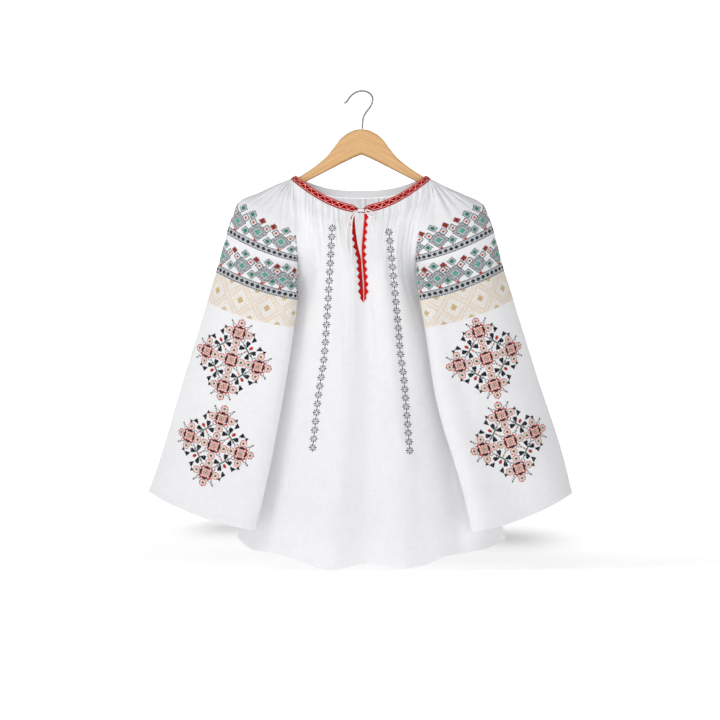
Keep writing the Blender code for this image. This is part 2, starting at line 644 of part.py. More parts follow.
def sleeve_sheet(side):
    """One sleeve as a sheet from its front seam over the shoulder to its back seam."""
    sheet = Sheet()
    rows = [("upper", share) for share in RAGLAN_SHARES]
    rows += [("lower", share) for share in SLEEVE_SHARES[1:]]
    around = np.linspace(0.0, 1.0, SLEEVE_COLUMNS + 1)
    previous = None
    sheet.front, sheet.back = [], []
    for index, (zone, share) in enumerate(rows):
        points = sleeve_point(around, zone, np.full_like(around, share), side)
        if index == 0:
            points = points - np.array([0, 0, NECK_EDGE_GAP])
        numbers = sheet.add_row(points)
        if previous is not None:
            sheet.join(previous, numbers, side == "right")
        sheet.front.append(numbers[0])
        sheet.back.append(numbers[-1])
        previous = numbers
    sheet.finish()
    return sheet


def part_seam(first, first_ids, second, second_ids):
    """Set two pieces half the seam gap back from their common seam, with one normal there."""
    seam = (first.points[first_ids] + second.points[second_ids]) / 2
    normals = unit(first.normals[first_ids] + second.normals[second_ids])
    along = unit(np.gradient(seam, axis=0))
    side = unit(np.cross(along, normals))
    away = first.points.mean(axis=0) - second.points.mean(axis=0)
    sign = 1.0 if (side.mean(axis=0) @ away) > 0 else -1.0
    first.points[first_ids] = seam + sign * side * SEAM_SET
    second.points[second_ids] = seam - sign * side * SEAM_SET
    first.normals[first_ids] = normals
    second.normals[second_ids] = normals


def part_tube(sheet, front_ids, back_ids, facing):
    """Open a tube's own seam by the seam gap: its two edges lie either side of the seam."""
    seam = (sheet.points[front_ids] + sheet.points[back_ids]) / 2
    step = np.array([0.0, SEAM_SET, 0.0])
    sheet.points[front_ids] = seam - step
    sheet.points[back_ids] = seam + step
    sheet.normals[front_ids] = facing
    sheet.normals[back_ids] = facing


def part_sides(front, back, front_ids, back_ids, facing):
    """Open a side seam between front and back by the seam gap."""
    seam = (front.points[front_ids] + back.points[back_ids]) / 2
    step = np.array([0.0, SEAM_SET, 0.0])
    front.points[front_ids] = seam - step
    back.points[back_ids] = seam + step
    front.normals[front_ids] = facing
    back.normals[back_ids] = facing


def clear_armpit(front, back, sleeve, front_ids, back_ids, toward):
    """Draw the body and the sleeve apart in x where all four seams meet."""
    armpit = len(RAGLAN_SHARES) - 1
    move = np.array([ARMPIT_CLEARANCE * toward, 0.0, 0.0])
    front.points[front_ids[armpit]] -= move
    back.points[back_ids[armpit]] -= move
    sleeve.points[sleeve.front[armpit]] += move
    sleeve.points[sleeve.back[armpit]] += move


def cloth_sheets():
    """Front, back and both sleeves, parted at every seam."""
    front = body_sheet(-1.0, FRONT_GATHERS)
    back = body_sheet(1.0, BACK_GATHERS)
    sleeves = {"left": sleeve_sheet("left"), "right": sleeve_sheet("right")}
    armpit = len(RAGLAN_SHARES) - 1
    for side, toward in (("left", -1.0), ("right", 1.0)):
        sleeve = sleeves[side]
        front_ids = getattr(front, side)
        back_ids = getattr(back, side)
        outward = np.array([toward, 0.0, 0.0])
        part_seam(front, front_ids[:armpit], sleeve, sleeve.front[:armpit])
        part_seam(back, back_ids[:armpit], sleeve, sleeve.back[:armpit])
        part_tube(sleeve, sleeve.front[armpit:], sleeve.back[armpit:], -outward)
        part_sides(front, back, front_ids[armpit:], back_ids[armpit:], outward)
        clear_armpit(front, back, sleeve, front_ids, back_ids, toward)
    return front, back, sleeves


# Trim, band, tie, hanger and hook

def front_at(tree, x, z, toward):
    """The front's points straight behind the given x and z, found by rays along +Y.

    A ray that passes through the slit is moved on to the cloth in small steps.
    """
    found = []
    for across, height in zip(x, z):
        hit = None
        while hit is None:
            hit = tree.ray_cast(Vector((across, -200.0, height)), Vector((0.0, 1.0, 0.0)))[0]
            across += 0.2 * toward
        found.append(np.array(hit))
    return found


def trim_sheet(half, tree):
    """A strip along one slit edge, moved out from the front, its outer edge cut in teeth."""
    sheet = Sheet()
    toward = -1.0 if half == "left" else 1.0
    top = -201.5
    count = int(round((top - TRIM_END_Z) / (TRIM_PITCH / 2)))
    heights = np.linspace(top, TRIM_END_Z, count + 1)
    inner = middle_x(np.maximum(heights, SLIT_END_Z + 0.01), half) + toward * TRIM_SET_BACK
    tooth = np.where(np.arange(count + 1) % 2 == 0, 0.0, TRIM_TOOTH)
    closing = np.clip((heights - TRIM_END_Z) / 14.0, 0.12, 1.0)
    outer = inner + toward * (TRIM_BASE + tooth) * closing
    previous = None
    columns = []
    for share in (0.0, 0.5, 1.0):
        x = mix(inner, outer, share)
        columns.append(front_at(tree, x, heights, toward))
    for index in range(count + 1):
        row = [columns[0][index], columns[1][index], columns[2][index]]
        if half == "right":
            row.reverse()
        numbers = sheet.add_row(row)
        if previous is not None:
            sheet.join(previous, numbers, half == "left")
        previous = numbers
    sheet.finish()
    if sheet.normals[:, 1].mean() > 0:
        sheet.faces = [tuple(reversed(face)) for face in sheet.faces]
        sheet.normals = -sheet.normals
    sheet.normals[:] = unit(sheet.normals.mean(axis=0))
    lift = WALL / 2 + TRIM_LIFT + TRIM_WALL / 2
    sheet.points = sheet.points + sheet.normals * lift
    return sheet


def band_sheet():
    """The neckband: round the neck from one front end to the other, from lower to upper edge."""
    half_gap = math.degrees(BAND_END_GAP / 2 / NECK_HALF_WIDTH)
    turn = np.linspace(half_gap, 360.0 - half_gap, BAND_COLUMNS + 1)
    behind = (turn > 90.0) & (turn < 270.0)
    angle = np.where(behind, 180.0 - turn, np.where(turn >= 270.0, turn - 360.0, turn))
    side_y = np.where(behind, 1.0, -1.0)
    low = neck_ring(angle, side_y)
    high = band_top(angle, side_y)
    sheet = Sheet()
    previous = None
    for share in np.linspace(0.0, 1.0, BAND_ROWS + 1):
        numbers = sheet.add_row(mix(low, high, share))
        if previous is not None:
            sheet.join(previous, numbers, False)
        previous = numbers
    sheet.finish()
    outward = sheet.points - sheet.points.mean(axis=0)
    if (sheet.normals * outward).sum() < 0:
        sheet.faces = [tuple(reversed(face)) for face in sheet.faces]
        sheet.normals = -sheet.normals
    return sheet


def make_rings(name, rings, surface):
    """A closed solid from equal rings of points, with its ends capped by fans."""
    sides = len(rings[0])
    points = [tuple(point) for ring in rings for point in ring]
    faces = []
    for row in range(len(rings) - 1):
        for i in range(sides):
            a = row * sides + i
            b = row * sides + (i + 1) % sides
            faces.append((a, b, b + sides, a + sides))
    faces.append(tuple(reversed(range(sides))))
    faces.append(tuple(range((len(rings) - 1) * sides, len(rings) * sides)))
    mesh = bpy.data.meshes.new(name)
    mesh.from_pydata((np.array(points) * MM).tolist(), [], faces)
    mesh.materials.append(surface)
    mesh.shade_smooth()
    mesh.set_sharp_from_angle(angle=math.radians(45))
    made = bpy.data.objects.new(name, mesh)
    bpy.context.collection.objects.link(made)
    return made


def hanger_sections():
    """Sections of the wooden hanger from its left tip to its right tip: x, top, bottom, half y."""
    sections = []
    for side, toward, reach in (("left", -1.0, HANGER_REACH_LEFT), ("right", 1.0, HANGER_REACH_RIGHT)):
        rows = []
        for out, top, bottom in zip(*(HANGER_OUTLINE[key] for key in ("reach", "top", "bottom"))):
            rows.append((HANGER_CENTRE_X + toward * out, top, bottom, HANGER_THICKNESS / 2))
        for share in RAGLAN_SHARES[2:6]:
            ridge_x = smooth(SLEEVE_HEADS["share"], SLEEVE_HEADS[side + "_x"], share)
            ridge_z = smooth(SLEEVE_HEADS["share"], SLEEVE_HEADS[side + "_z"], share)
            if abs(ridge_x) < reach - 8.0:
                top = ridge_z - WALL / 2 - HANGER_CLEARANCE
                rows.append((float(ridge_x), top, top - HANGER_DEPTH, HANGER_THICKNESS / 2))
        last_x, last_top, last_bottom, half = rows[-1]
        slope = (rows[-1][1] - rows[-2][1]) / abs(rows[-1][0] - rows[-2][0])
        for back, shrink in ((6.0, 1.0), (2.0, 0.72), (0.0, 0.35)):
            x = toward * (reach - back)
            top = last_top + slope * abs(x - last_x)
            middle = top - HANGER_DEPTH / 2
            rows.append((x, middle + HANGER_DEPTH / 2 * shrink, middle - HANGER_DEPTH / 2 * shrink,
                         half * shrink))
        sections.append(rows)
    return list(reversed(sections[0][1:])) + sections[1]


def make_hanger(surface):
    """The hanger as rounded oblong rings along its length."""
    rings = []
    turns = np.linspace(0, 2 * np.pi, HANGER_SIDES, endpoint=False) + np.pi / HANGER_SIDES
    for x, top, bottom, half_y in hanger_sections():
        middle = (top + bottom) / 2
        half_z = (top - bottom) / 2
        corner = np.sign(np.cos(turns)) * np.abs(np.cos(turns)) ** 0.6
        rise = np.sign(np.sin(turns)) * np.abs(np.sin(turns)) ** 0.6
        ring = np.stack([np.full_like(turns, x), half_y * corner, middle + half_z * rise], axis=-1)
        rings.append(ring)
    return make_rings("hanger", rings, surface)


def make_tube(name, points, diameter, surface):
    """A wire or cord as a curve with a round bevel and filled ends."""
    curve = bpy.data.curves.new(name, "CURVE")
    curve.dimensions = "3D"
    curve.bevel_depth = diameter / 2 * MM
    curve.bevel_resolution = 2
    curve.use_fill_caps = True
    spline = curve.splines.new("POLY")
    spline.points.add(len(points) - 1)
    for place, point in zip(spline.points, points):
        place.co = (point[0] * MM, point[1] * MM, point[2] * MM, 1.0)
    curve.materials.append(surface)
    made = bpy.data.objects.new(name, curve)
    bpy.context.collection.objects.link(made)
    return made


def smooth_route(points, step):
    """Points about a step apart on a smooth curve through the route's own points."""
    points = np.array(points, dtype=float)
    lengths = np.concatenate([[0.0], np.cumsum(np.linalg.norm(np.diff(points, axis=0), axis=1))])
    count = max(int(round(lengths[-1] / step)), 4)
    at = np.linspace(0.0, lengths[-1], count + 1)
    return np.stack([smooth(lengths, points[:, axis], at) for axis in range(3)], axis=-1)


def make_knot(surface):
    """The tied knot as a small rounded lump, wider than it is high."""
    rings = []
    for polar in np.linspace(0.12, np.pi - 0.12, KNOT_RINGS):
        turns = np.linspace(0, 2 * np.pi, KNOT_SIDES, endpoint=False)
        x = np.full_like(turns, -math.cos(polar) * KNOT_HALF_SIZE[0])
        y = np.cos(turns) * math.sin(polar) * KNOT_HALF_SIZE[1]
        z = np.sin(turns) * math.sin(polar) * KNOT_HALF_SIZE[2]
        rings.append(np.stack([x, y, z], axis=-1) + np.array(KNOT_CENTRE))
    return make_rings("tie_knot", rings, surface)


def main():
    """Build every piece of the blouse and its hanger."""
    clear_scene()
    surfaces = {name: material(name) for name in COLOURS}
    front, back, sleeves = cloth_sheets()
    make_wall("front", front.points, front.faces, front.normals, WALL, surfaces["linen"])
    make_wall("back", back.points, back.faces, back.normals, WALL, surfaces["linen"])
    tree = BVHTree.FromPolygons(front.points.tolist(), front.faces)
    for side in ("left", "right"):
        sleeve = sleeves[side]
        make_wall("sleeve_" + side, sleeve.points, sleeve.faces, sleeve.normals, WALL, surfaces["linen"])
        trim = trim_sheet(side, tree)
        make_wall("slit_trim_" + side, trim.points, trim.faces, trim.normals, TRIM_WALL,
                  surfaces["band_red"])
    band = band_sheet()
    make_wall("neckband", band.points, band.faces, band.normals, BAND_WALL, surfaces["band_red"])
    make_hanger(surfaces["wood"])
    hook = [(x, 0.0, z + HOOK_SEAT_GAP) for x, z in zip(HOOK_ROUTE["x"], HOOK_ROUTE["z"])]
    make_tube("hook", hook, HOOK_WIRE, surfaces["steel"])
    make_knot(surfaces["tie_white"])
    for name, route in TIE_STRANDS.items():
        make_tube(name, smooth_route(route, 3.0), TIE_DIAMETER, surfaces["tie_white"])


main()
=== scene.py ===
"""Looks of a Romanian ie blouse on a wooden hanger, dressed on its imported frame.

Lengths in the tables are millimetres in the frame of the part: the origin is the inside top of the
hook, +X is to the viewer's right, +Y runs from the blouse's front to its back and +Z is up. Every
cloth piece is a sheet of points worked out from the tables and given a thin wall, and every
stitch is a small pad that lies on it.
"""

import json
import math

import bpy
import numpy as np
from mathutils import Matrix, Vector
from mathutils.bvhtree import BVHTree

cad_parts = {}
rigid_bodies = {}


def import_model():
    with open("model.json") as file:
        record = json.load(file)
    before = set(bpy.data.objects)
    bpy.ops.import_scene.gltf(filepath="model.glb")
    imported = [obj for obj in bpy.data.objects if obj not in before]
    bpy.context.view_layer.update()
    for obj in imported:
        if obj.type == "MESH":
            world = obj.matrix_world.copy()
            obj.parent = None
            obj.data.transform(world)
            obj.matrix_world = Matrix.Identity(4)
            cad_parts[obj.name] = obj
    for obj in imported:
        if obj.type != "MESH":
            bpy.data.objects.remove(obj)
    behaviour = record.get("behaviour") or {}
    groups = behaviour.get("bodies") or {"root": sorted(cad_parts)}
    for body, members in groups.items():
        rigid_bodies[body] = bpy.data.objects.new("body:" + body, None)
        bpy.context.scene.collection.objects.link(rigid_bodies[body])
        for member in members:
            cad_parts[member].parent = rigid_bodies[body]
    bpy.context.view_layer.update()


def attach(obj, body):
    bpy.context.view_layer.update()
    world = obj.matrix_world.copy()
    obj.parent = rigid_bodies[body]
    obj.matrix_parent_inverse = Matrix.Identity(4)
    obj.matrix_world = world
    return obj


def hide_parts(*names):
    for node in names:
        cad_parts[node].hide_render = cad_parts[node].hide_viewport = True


MM = 0.001


def named_rows(names, *rows):
    """Rows of numbers as dictionaries that share their names."""
    return [dict(zip(names.split(), row)) for row in rows]


# Cloth and seams
LINEN_WALL = 0.8
SEAM_SET = 0.15

# Neck ring, at the lower edge of the neckband
NECK_CENTRE_X = -2.0
NECK_HALF_WIDTH = 115.5
NECK_FRONT_DEPTH = 34.0
NECK_BACK_DEPTH = 30.0
NECK_SIDE_Z = -143.0
NECK_FRONT_DROP = 57.0
NECK_BACK_DROP = 30.0
NECK_FRONT_POWER = 1.8
NECK_BACK_POWER = 2.6
RAGLAN_NECK_ANGLE = 74.0
NECK_EDGE_GAP = 0.9
NECK_REACH = 0.3
SLEEVE_NECK_REACH = 0.2

# Neckband
BAND_HALF_WIDTH = 107.0
BAND_SIDE_Z = -137.5
BAND_FRONT_DROP = 50.0
BAND_BACK_DROP = 24.0
BAND_LEAN = 3.0
BAND_WALL = 1.3
BAND_END_DROOP = 6.0
BAND_END_REACH = 9.0
BAND_END_GAP = 1.2
BAND_COLUMNS = 320
BAND_ROWS = 8

# Armpits, and how flat the body is before it turns to the sides
ARMPIT_Z = -285.0
ARMPIT_CLEARANCE = 0.8
ARMPIT_TUCK = 6
BODY_TUCK = 10
BODY_BOW = 2.6
SIDE_SETTLE = 100.0
BACK_HEM_MIDDLE = 6.0

# Slit and its trim
SLIT_END_Z = -337.0
TRIM_TOP_Z = -201.5
TRIM_END_Z = -347.0
TRIM_BASE = 4.0
TRIM_TOOTH = 4.2
TRIM_PITCH = 12.2
TRIM_WALL = 0.9
TRIM_SET_BACK = 0.3
TRIM_LIFT = 0.2
TRIM_ROWS = 232
TRIM_COLUMNS = 9
TRIM_CROWN = 0.35

# Gathers
FRONT_GATHERS = 22
BACK_GATHERS = 20
SLEEVE_GATHERS = 5
GATHER_DEPTH = 2.1
GATHER_EVEN = 0.32
SLEEVE_GATHER_DEPTH = 1.5
SHOULDER_REACH = 0.10

# Rows and columns of the cloth grids
UPPER_ROWS = 56
BODY_LOWER_ROWS = 94
SLIT_END_ROW = 10
SLEEVE_LOWER_ROWS = 110
FRONT_HALF_COLUMNS = 96
BACK_COLUMNS = 150
SLEEVE_COLUMNS = 168
HEM_ROWS_BODY = 2
HEM_ROWS_SLEEVE = 2

RAGLAN_SEAMS = {
    "share": (0.00, 0.20, 0.45, 0.70, 0.90, 1.00),
    "left_x": (-113.0, -113.2, -110.0, -107.6, -106.6, -106.0),
    "right_x": (109.0, 104.8, 95.5, 90.5, 89.0, 89.5),
    "front_y": (-9.4, -20.0, -28.0, -27.0, -13.0, 0.0),
    "back_y": (8.3, 20.0, 30.0, 30.0, 15.0, 0.0),
    "body_y": (9.0, 16.0, 19.0, 17.0, 12.0, 8.0),
    "sleeve_front_y": (-9.0, -16.0, -20.0, -20.0, -20.0, -20.0),
    "sleeve_back_y": (8.0, 16.0, 22.0, 18.0, 3.0, -8.0),
}
SLEEVE_HEADS = {
    "share": (0.00, 0.20, 0.42, 0.62, 0.80, 1.00),
    "left_x": (-117.5, -138.0, -172.0, -201.5, -214.5, -225.0),
    "left_z": (-143.0, -151.0, -166.8, -180.0, -207.0, -240.0),
    "right_x": (113.5, 135.0, 167.0, 198.0, 209.5, 219.5),
    "right_z": (-143.0, -154.5, -168.5, -184.0, -207.0, -237.0),
    "bulge": (0.0, 6.0, 13.0, 20.0, 24.0, 26.0),
    "sag": (0.0, 0.0, 2.0, 4.0, 6.0, 7.0),
}
SLEEVE_TUBES = {
    "share": (0.00, 0.05, 0.11, 0.24, 0.51, 0.89, 1.00),
    "left_inner_x": (-106.0, -105.7, -105.6, -112.0, -130.4, -163.5, -175.4),
    "left_inner_z": (-285.0, -306.0, -331.0, -389.0, -507.5, -672.5, -718.7),
    "left_outer_x": (-225.0, -230.0, -236.6, -255.3, -290.0, -336.0, -351.0),
    "left_outer_z": (-240.0, -260.0, -284.3, -348.3, -461.0, -615.0, -658.5),
    "right_inner_x": (89.5, 90.5, 93.0, 103.0, 122.0, 169.0, 179.5),
    "right_inner_z": (-285.0, -305.0, -328.0, -387.0, -507.5, -672.5, -722.0),
    "right_outer_x": (219.5, 224.0, 229.4, 248.8, 286.0, 335.0, 345.7),
    "right_outer_z": (-237.0, -256.0, -278.2, -341.0, -461.0, -615.0, -661.0),
    "inner_y": (0.0, -22.0, -30.0, -33.0, -38.0, -50.0, -53.0),
    "sleeve_front_y": (-20.0, -24.0, -30.0, -33.0, -38.0, -50.0, -53.0),
    "sleeve_back_y": (-8.0, -17.0, -27.0, -33.0, -38.0, -50.0, -53.0),
    "outer_y": (0.0, 0.0, -1.0, -3.0, -5.0, -8.0, -9.0),
    "front_bulge": (26.0, 27.0, 28.0, 28.0, 26.0, 24.0, 23.0),
    "back_bulge": (26.0, 22.0, 20.0, 18.0, 17.0, 17.0, 17.0),
    "sag": (7.0, 7.0, 7.0, 7.0, 8.0, 10.0, 10.0),
}
BODY_SIDES = {
    "z": (-785.0, -740.0, -700.0, -640.0, -500.0, -400.0, -345.0, -325.0, -300.0, -285.0),
    "left_x": (-207.0, -205.5, -197.0, -179.0, -150.0, -131.0, -119.0, -112.5, -106.2, -106.0),
    "right_x": (240.0, 237.5, 227.0, 205.0, 152.0, 124.0, 106.0, 97.5, 90.0, 89.5),
    "side_y": (8.0, 8.0, 8.0, 8.0, 8.0, 8.0, 7.0, 6.0, 2.0, 0.0),
    "front_depth": (58.0, 58.0, 57.0, 56.0, 53.0, 51.0, 50.0, 50.0, 49.5, 49.0),
    "back_depth": (54.0, 54.0, 53.0, 52.0, 49.0, 47.0, 46.0, 46.0, 45.5, 45.0),
}
FRONT_HEM = {
    "x": (-207.0, -189.0, -144.0, -113.0, -66.0, -36.0, 5.0, 43.0, 71.0, 106.0, 142.0, 175.0, 205.0, 240.0),
    "z": (-735.0, -750.0, -759.0, -768.0, -783.0, -783.0, -774.0, -780.0, -782.0, -776.0, -761.0,
          -758.0, -752.0, -737.0),
}
BACK_HEM = {
    "x": (-207.0, -150.0, -90.0, -30.0, 30.0, 90.0, 150.0, 200.0, 240.0),
    "z": (-735.0, -757.0, -768.0, -776.0, -770.0, -777.0, -764.0, -755.0, -737.0),
}
SLIT_EDGES = {
    "z": (-337.0, -326.0, -293.0, -272.0, -260.0, -227.0, -200.0),
    "left_x": (2.0, 1.6, -0.6, -2.5, -5.6, -10.7, -12.5),
    "right_x": (2.0, 2.2, 0.2, -1.3, -1.6, 0.8, 2.6),
}
FRONT_CENTRE = {"z": (-785.0, -500.0, -337.0), "x": (5.0, 4.0, 2.0)}

# Long folds: where they lie from side to side at the chest and at the hem, how far they stand out
FRONT_FOLDS = named_rows(
    "chest hem chest_out hem_out width",
    (-0.93, -0.86, -2.0, -5.0, 0.08),
    (-0.80, -0.72, -4.0, 4.0, 0.10),
    (-0.66, -0.55, 4.0, -5.0, 0.10),
    (-0.42, -0.42, -2.5, -2.0, 0.08),
    (-0.25, -0.25, 4.5, 8.0, 0.14),
    (0.06, 0.00, -5.5, -7.0, 0.13),
    (0.40, 0.28, 5.0, 8.0, 0.13),
    (0.66, 0.50, 3.0, 3.0, 0.10),
    (0.88, 0.68, -4.5, -6.0, 0.10),
    (0.98, 0.82, 0.0, 4.0, 0.09),
)
BACK_FOLDS = named_rows(
    "chest hem chest_out hem_out width",
    (-0.85, -0.80, -3.0, -5.0, 0.10),
    (-0.60, -0.62, 4.0, 6.0, 0.12),
    (-0.34, -0.38, -4.0, -6.0, 0.12),
    (-0.08, -0.12, 4.0, 7.0, 0.12),
    (0.20, 0.14, -4.5, -6.0, 0.12),
    (0.45, 0.40, 3.0, 7.0, 0.12),
    (0.70, 0.66, -3.5, -6.0, 0.11),
    (0.88, 0.86, 2.0, 4.0, 0.07),
)
SLEEVE_FOLDS = named_rows(
    "top cuff top_out cuff_out width",
    (0.10, 0.12, 2.0, 4.0, 0.05),
    (0.21, 0.24, -2.0, -3.0, 0.05),
    (0.33, 0.36, 1.6, 3.5, 0.06),
    (0.43, 0.45, -1.5, -2.0, 0.04),
    (0.60, 0.60, -2.0, -3.0, 0.05),
    (0.72, 0.72, 2.5, 4.0, 0.06),
    (0.86, 0.86, -2.0, -3.0, 0.05),
)

# Soft creases laid on one by one: place from side to side at the upper and lower end, height of both
# ends, how far out or in, and half width as a share of the half width of the body
FRONT_CREASES = named_rows(
    "upper lower top low out width",
    (-0.80, -0.90, -190, -330, -2.2, 0.035),
    (-0.70, -0.74, -196, -420, 1.6, 0.045),
    (-0.58, -0.62, -200, -300, -1.8, 0.030),
    (-0.47, -0.50, -205, -380, 1.2, 0.035),
    (-0.30, -0.20, -205, -520, -1.6, 0.040),
    (-0.13, -0.10, -250, -420, 1.4, 0.035),
    (0.16, 0.18, -215, -470, -1.8, 0.040),
    (0.30, 0.27, -205, -330, 1.4, 0.035),
    (0.48, 0.52, -200, -430, -1.8, 0.040),
    (0.62, 0.64, -196, -320, 1.6, 0.035),
    (0.76, 0.74, -190, -400, -2.2, 0.035),
    (0.90, 0.84, -185, -300, 1.6, 0.030),
    (-0.55, -0.30, -430, -640, 1.0, 0.060),
    (0.20, 0.55, -480, -690, 1.1, 0.060),
    (-0.05, -0.20, -540, -740, -1.2, 0.050),
)
BACK_CREASES = named_rows(
    "upper lower top low out width",
    (-0.70, -0.76, -180, -380, 1.8, 0.040),
    (-0.45, -0.50, -185, -450, -1.8, 0.040),
    (-0.20, -0.16, -190, -350, 1.5, 0.040),
    (0.06, 0.02, -190, -520, -1.8, 0.040),
    (0.34, 0.36, -188, -380, 1.6, 0.040),
    (0.60, 0.66, -185, -450, -1.8, 0.040),
    (0.82, 0.78, -180, -340, 1.6, 0.035),
)
# The same on the sleeves: place round the sleeve, and where along it from 0 (neck) over 1 (armpit)
# to 2 (cuff)
SLEEVE_CREASES = named_rows(
    "upper lower top low out width",
    (0.10, 0.14, 0.12, 0.62, -1.8, 0.022),
    (0.19, 0.22, 0.10, 0.70, 1.8, 0.026),
    (0.28, 0.30, 0.12, 0.60, -1.6, 0.022),
    (0.06, 0.07, 0.85, 1.60, 1.8, 0.030),
    (0.16, 0.20, 1.15, 1.95, -1.6, 0.030),
    (0.27, 0.31, 1.20, 2.00, 1.4, 0.035),
    (0.38, 0.40, 1.30, 1.90, -1.2, 0.030),
    (0.66, 0.66, 0.30, 1.40, 1.4, 0.035),
    (0.80, 0.79, 0.90, 1.90, -1.6, 0.035),
    (0.91, 0.92, 1.10, 1.90, 1.4, 0.025),
)

# Hanger outline from its middle outwards: distance from the middle, top and bottom height
HANGER_OUTLINE = {
    "reach": (0.0, 8.0, 14.0, 20.0, 28.0, 36.0, 46.0, 57.0, 71.0, 85.0, 99.0, 106.0, 115.0),
    "top": (-61.0, -61.5, -63.2, -66.0, -71.0, -78.5, -92.0, -105.5, -118.0, -128.3, -137.2, -141.2,
            -147.5),
    "bottom": (-103.0, -106.0, -108.5, -111.5, -115.3, -119.3, -124.4, -130.0, -137.2, -144.2,
               -151.4, -155.0, -160.5),
}
HANGER_HEAD_SHARES = (0.19, 0.31, 0.45, 0.61)
HANGER_CENTRE_X = -1.0
HANGER_THICKNESS = 12.0
HANGER_DEPTH = 15.0
HANGER_CLEARANCE = 3.0
HANGER_REACH = {"left": 196.0, "right": 191.0}
CAD_WALL = 1.2
HANGER_SIDES = 32
HANGER_CORNER_POWER = 0.42
HANGER_SLICE = 2.0
NOTCH_REACH = 8.0

HOOK_ROUTE = {
    "x": (0.7, 0.9, 1.5, 3.6, 7.5, 11.8, 15.2, 17.3, 17.7, 16.2, 12.6, 7.4, 1.6, -4.4, -10.2,
          -15.4, -19.6, -22.6, -24.9, -27.2, -29.8),
    "z": (-60.4, -54.0, -46.0, -38.6, -32.2, -26.8, -21.4, -15.6, -10.6, -6.0, -1.9, 0.9, 2.0, 1.6,
          -0.4, -3.8, -7.8, -12.0, -15.2, -17.2, -17.6),
}
HOOK_WIRE = 3.0
HOOK_SEAT_GAP = 0.3
HOOK_SIDES = 20

# Tie cord: free ends and the small loop
TIE_DIAMETER = 2.6
CORD_END_CLOSE = 0.55
TIE_STRANDS = {
    "tie_strand_outer": (
        (-8.9, -36.4, -196.3), (-13.6, -38.4, -199.4), (-17.4, -40.7, -204.2), (-20.6, -42.6, -210.2),
        (-23.1, -44.3, -216.8), (-24.4, -45.7, -226.1), (-25.4, -47.4, -235.7), (-25.6, -49.7, -249.4),
        (-24.2, -51.9, -258.4), (-21.6, -53.9, -266.0),
    ),
    "tie_strand_inner": (
        (-6.5, -39.2, -197.9), (-11.8, -41.4, -201.8), (-15.0, -43.4, -207.2), (-16.4, -45.1, -214.3),
        (-17.3, -47.0, -223.8), (-17.8, -48.7, -235.3), (-17.8, -51.2, -250.0), (-17.4, -53.2, -262.0),
        (-17.5, -54.6, -276.0),
    ),
    "tie_loop": (
        (4.8, -37.8, -196.8), (8.4, -39.7, -201.0), (12.6, -41.4, -205.2), (16.8, -42.0, -207.0),
        (19.8, -41.4, -205.4), (19.4, -39.8, -202.0), (15.0, -37.8, -198.2), (9.6, -36.3, -195.6),
        (5.1, -35.8, -194.9),
    ),
}
KNOT_CENTRE = (-1.8, -36.9, -196.0)
KNOT_REACH = (4.4, 1.7, 1.5)
KNOT_WINDINGS = 2.6
KNOT_CORD = 2.5
PLY_TURN = 5.0
CORD_SIDES = 15
KNOT_SIDES = 12

# Embroidery: stitch size, and where the bands lie down the sleeve from the first band's top
STITCH = 1.05
BAND_STITCH = 0.9
BAND_STITCH_ROWS = 14
BAND_STITCH_LIFT = 0.05
BAND_STITCH_INSET = 0.4
BAND_EDGE_ROWS = 3
BAND_PITCH = 12.4
BAND_PALE = 0.075
BAND_BRIGHT = 0.26
STITCH_LIFT = 0.12
STITCH_RISE = 0.38
PAD_INSET = 0.03
CHART_INSET = 0.8
BAND_ONE_SHARE = 0.89
DARK_BAND_DEPTH = 12.6
BAND_TWO_TOP = 67.5
GOLD_TOP = BAND_TWO_TOP + DARK_BAND_DEPTH
GOLD_DEPTH = 49.0
GOLD_PITCH = 46.5
GOLD_PHASE = 21.0
DIAMOND_SPREAD = 1.12
DIAMOND_HALF = 15.8
DIAMOND_TURN = 12.0
# Middles of the big diamonds along the row, from the outer edge towards the front seam
DIAMOND_ROWS = {
    "upper": (-190.0, -149.0, -106.0, -64.0, -21.0, 21.0, 62.0, 104.0, 146.0),
    "lower": (-199.0, -157.0, -115.0, -73.0, -31.0, 11.0, 54.0, 95.0, 126.0, 160.0),
}
CHART_TOP = -56.0
CHART_BOTTOM = 452.0
CHART_REACH = 230.0

# Middles of the flower clusters, x and z
CLUSTERS = {
    "left": ((-214.5, -441.5), (-242.6, -581.8)),
    "right": ((203.9, -438.2), (242.6, -575.2)),
}
CLUSTER_ARM = 46.0
CROSS_REACH = 30.6
CLUSTER_REACH = 82.0
BUD_REACH = 13.2
PETAL_REACH = 16.6
PETAL_RADIUS = 6.0

# Star columns down the front: x and z along each
STAR_COLUMNS = {
    "left": {
        "x": (-48.8, -56.1, -64.0, -71.1, -75.9, -80.7),
        "z": (-225.4, -350.1, -451.4, -496.0, -540.5, -585.1),
    },
    "right": {
        "x": (44.1, 56.3, 58.9, 62.2, 68.1, 71.9, 78.0),
        "z": (-232.0, -353.4, -383.0, -425.9, -469.6, -514.1, -589.5),
    },
}
STAR_COUNT = 26
STAR_STITCH = 0.70
STAR_CELLS = 19
STAR_RADIUS = 6.5
STAR_HOLLOW = 1.2

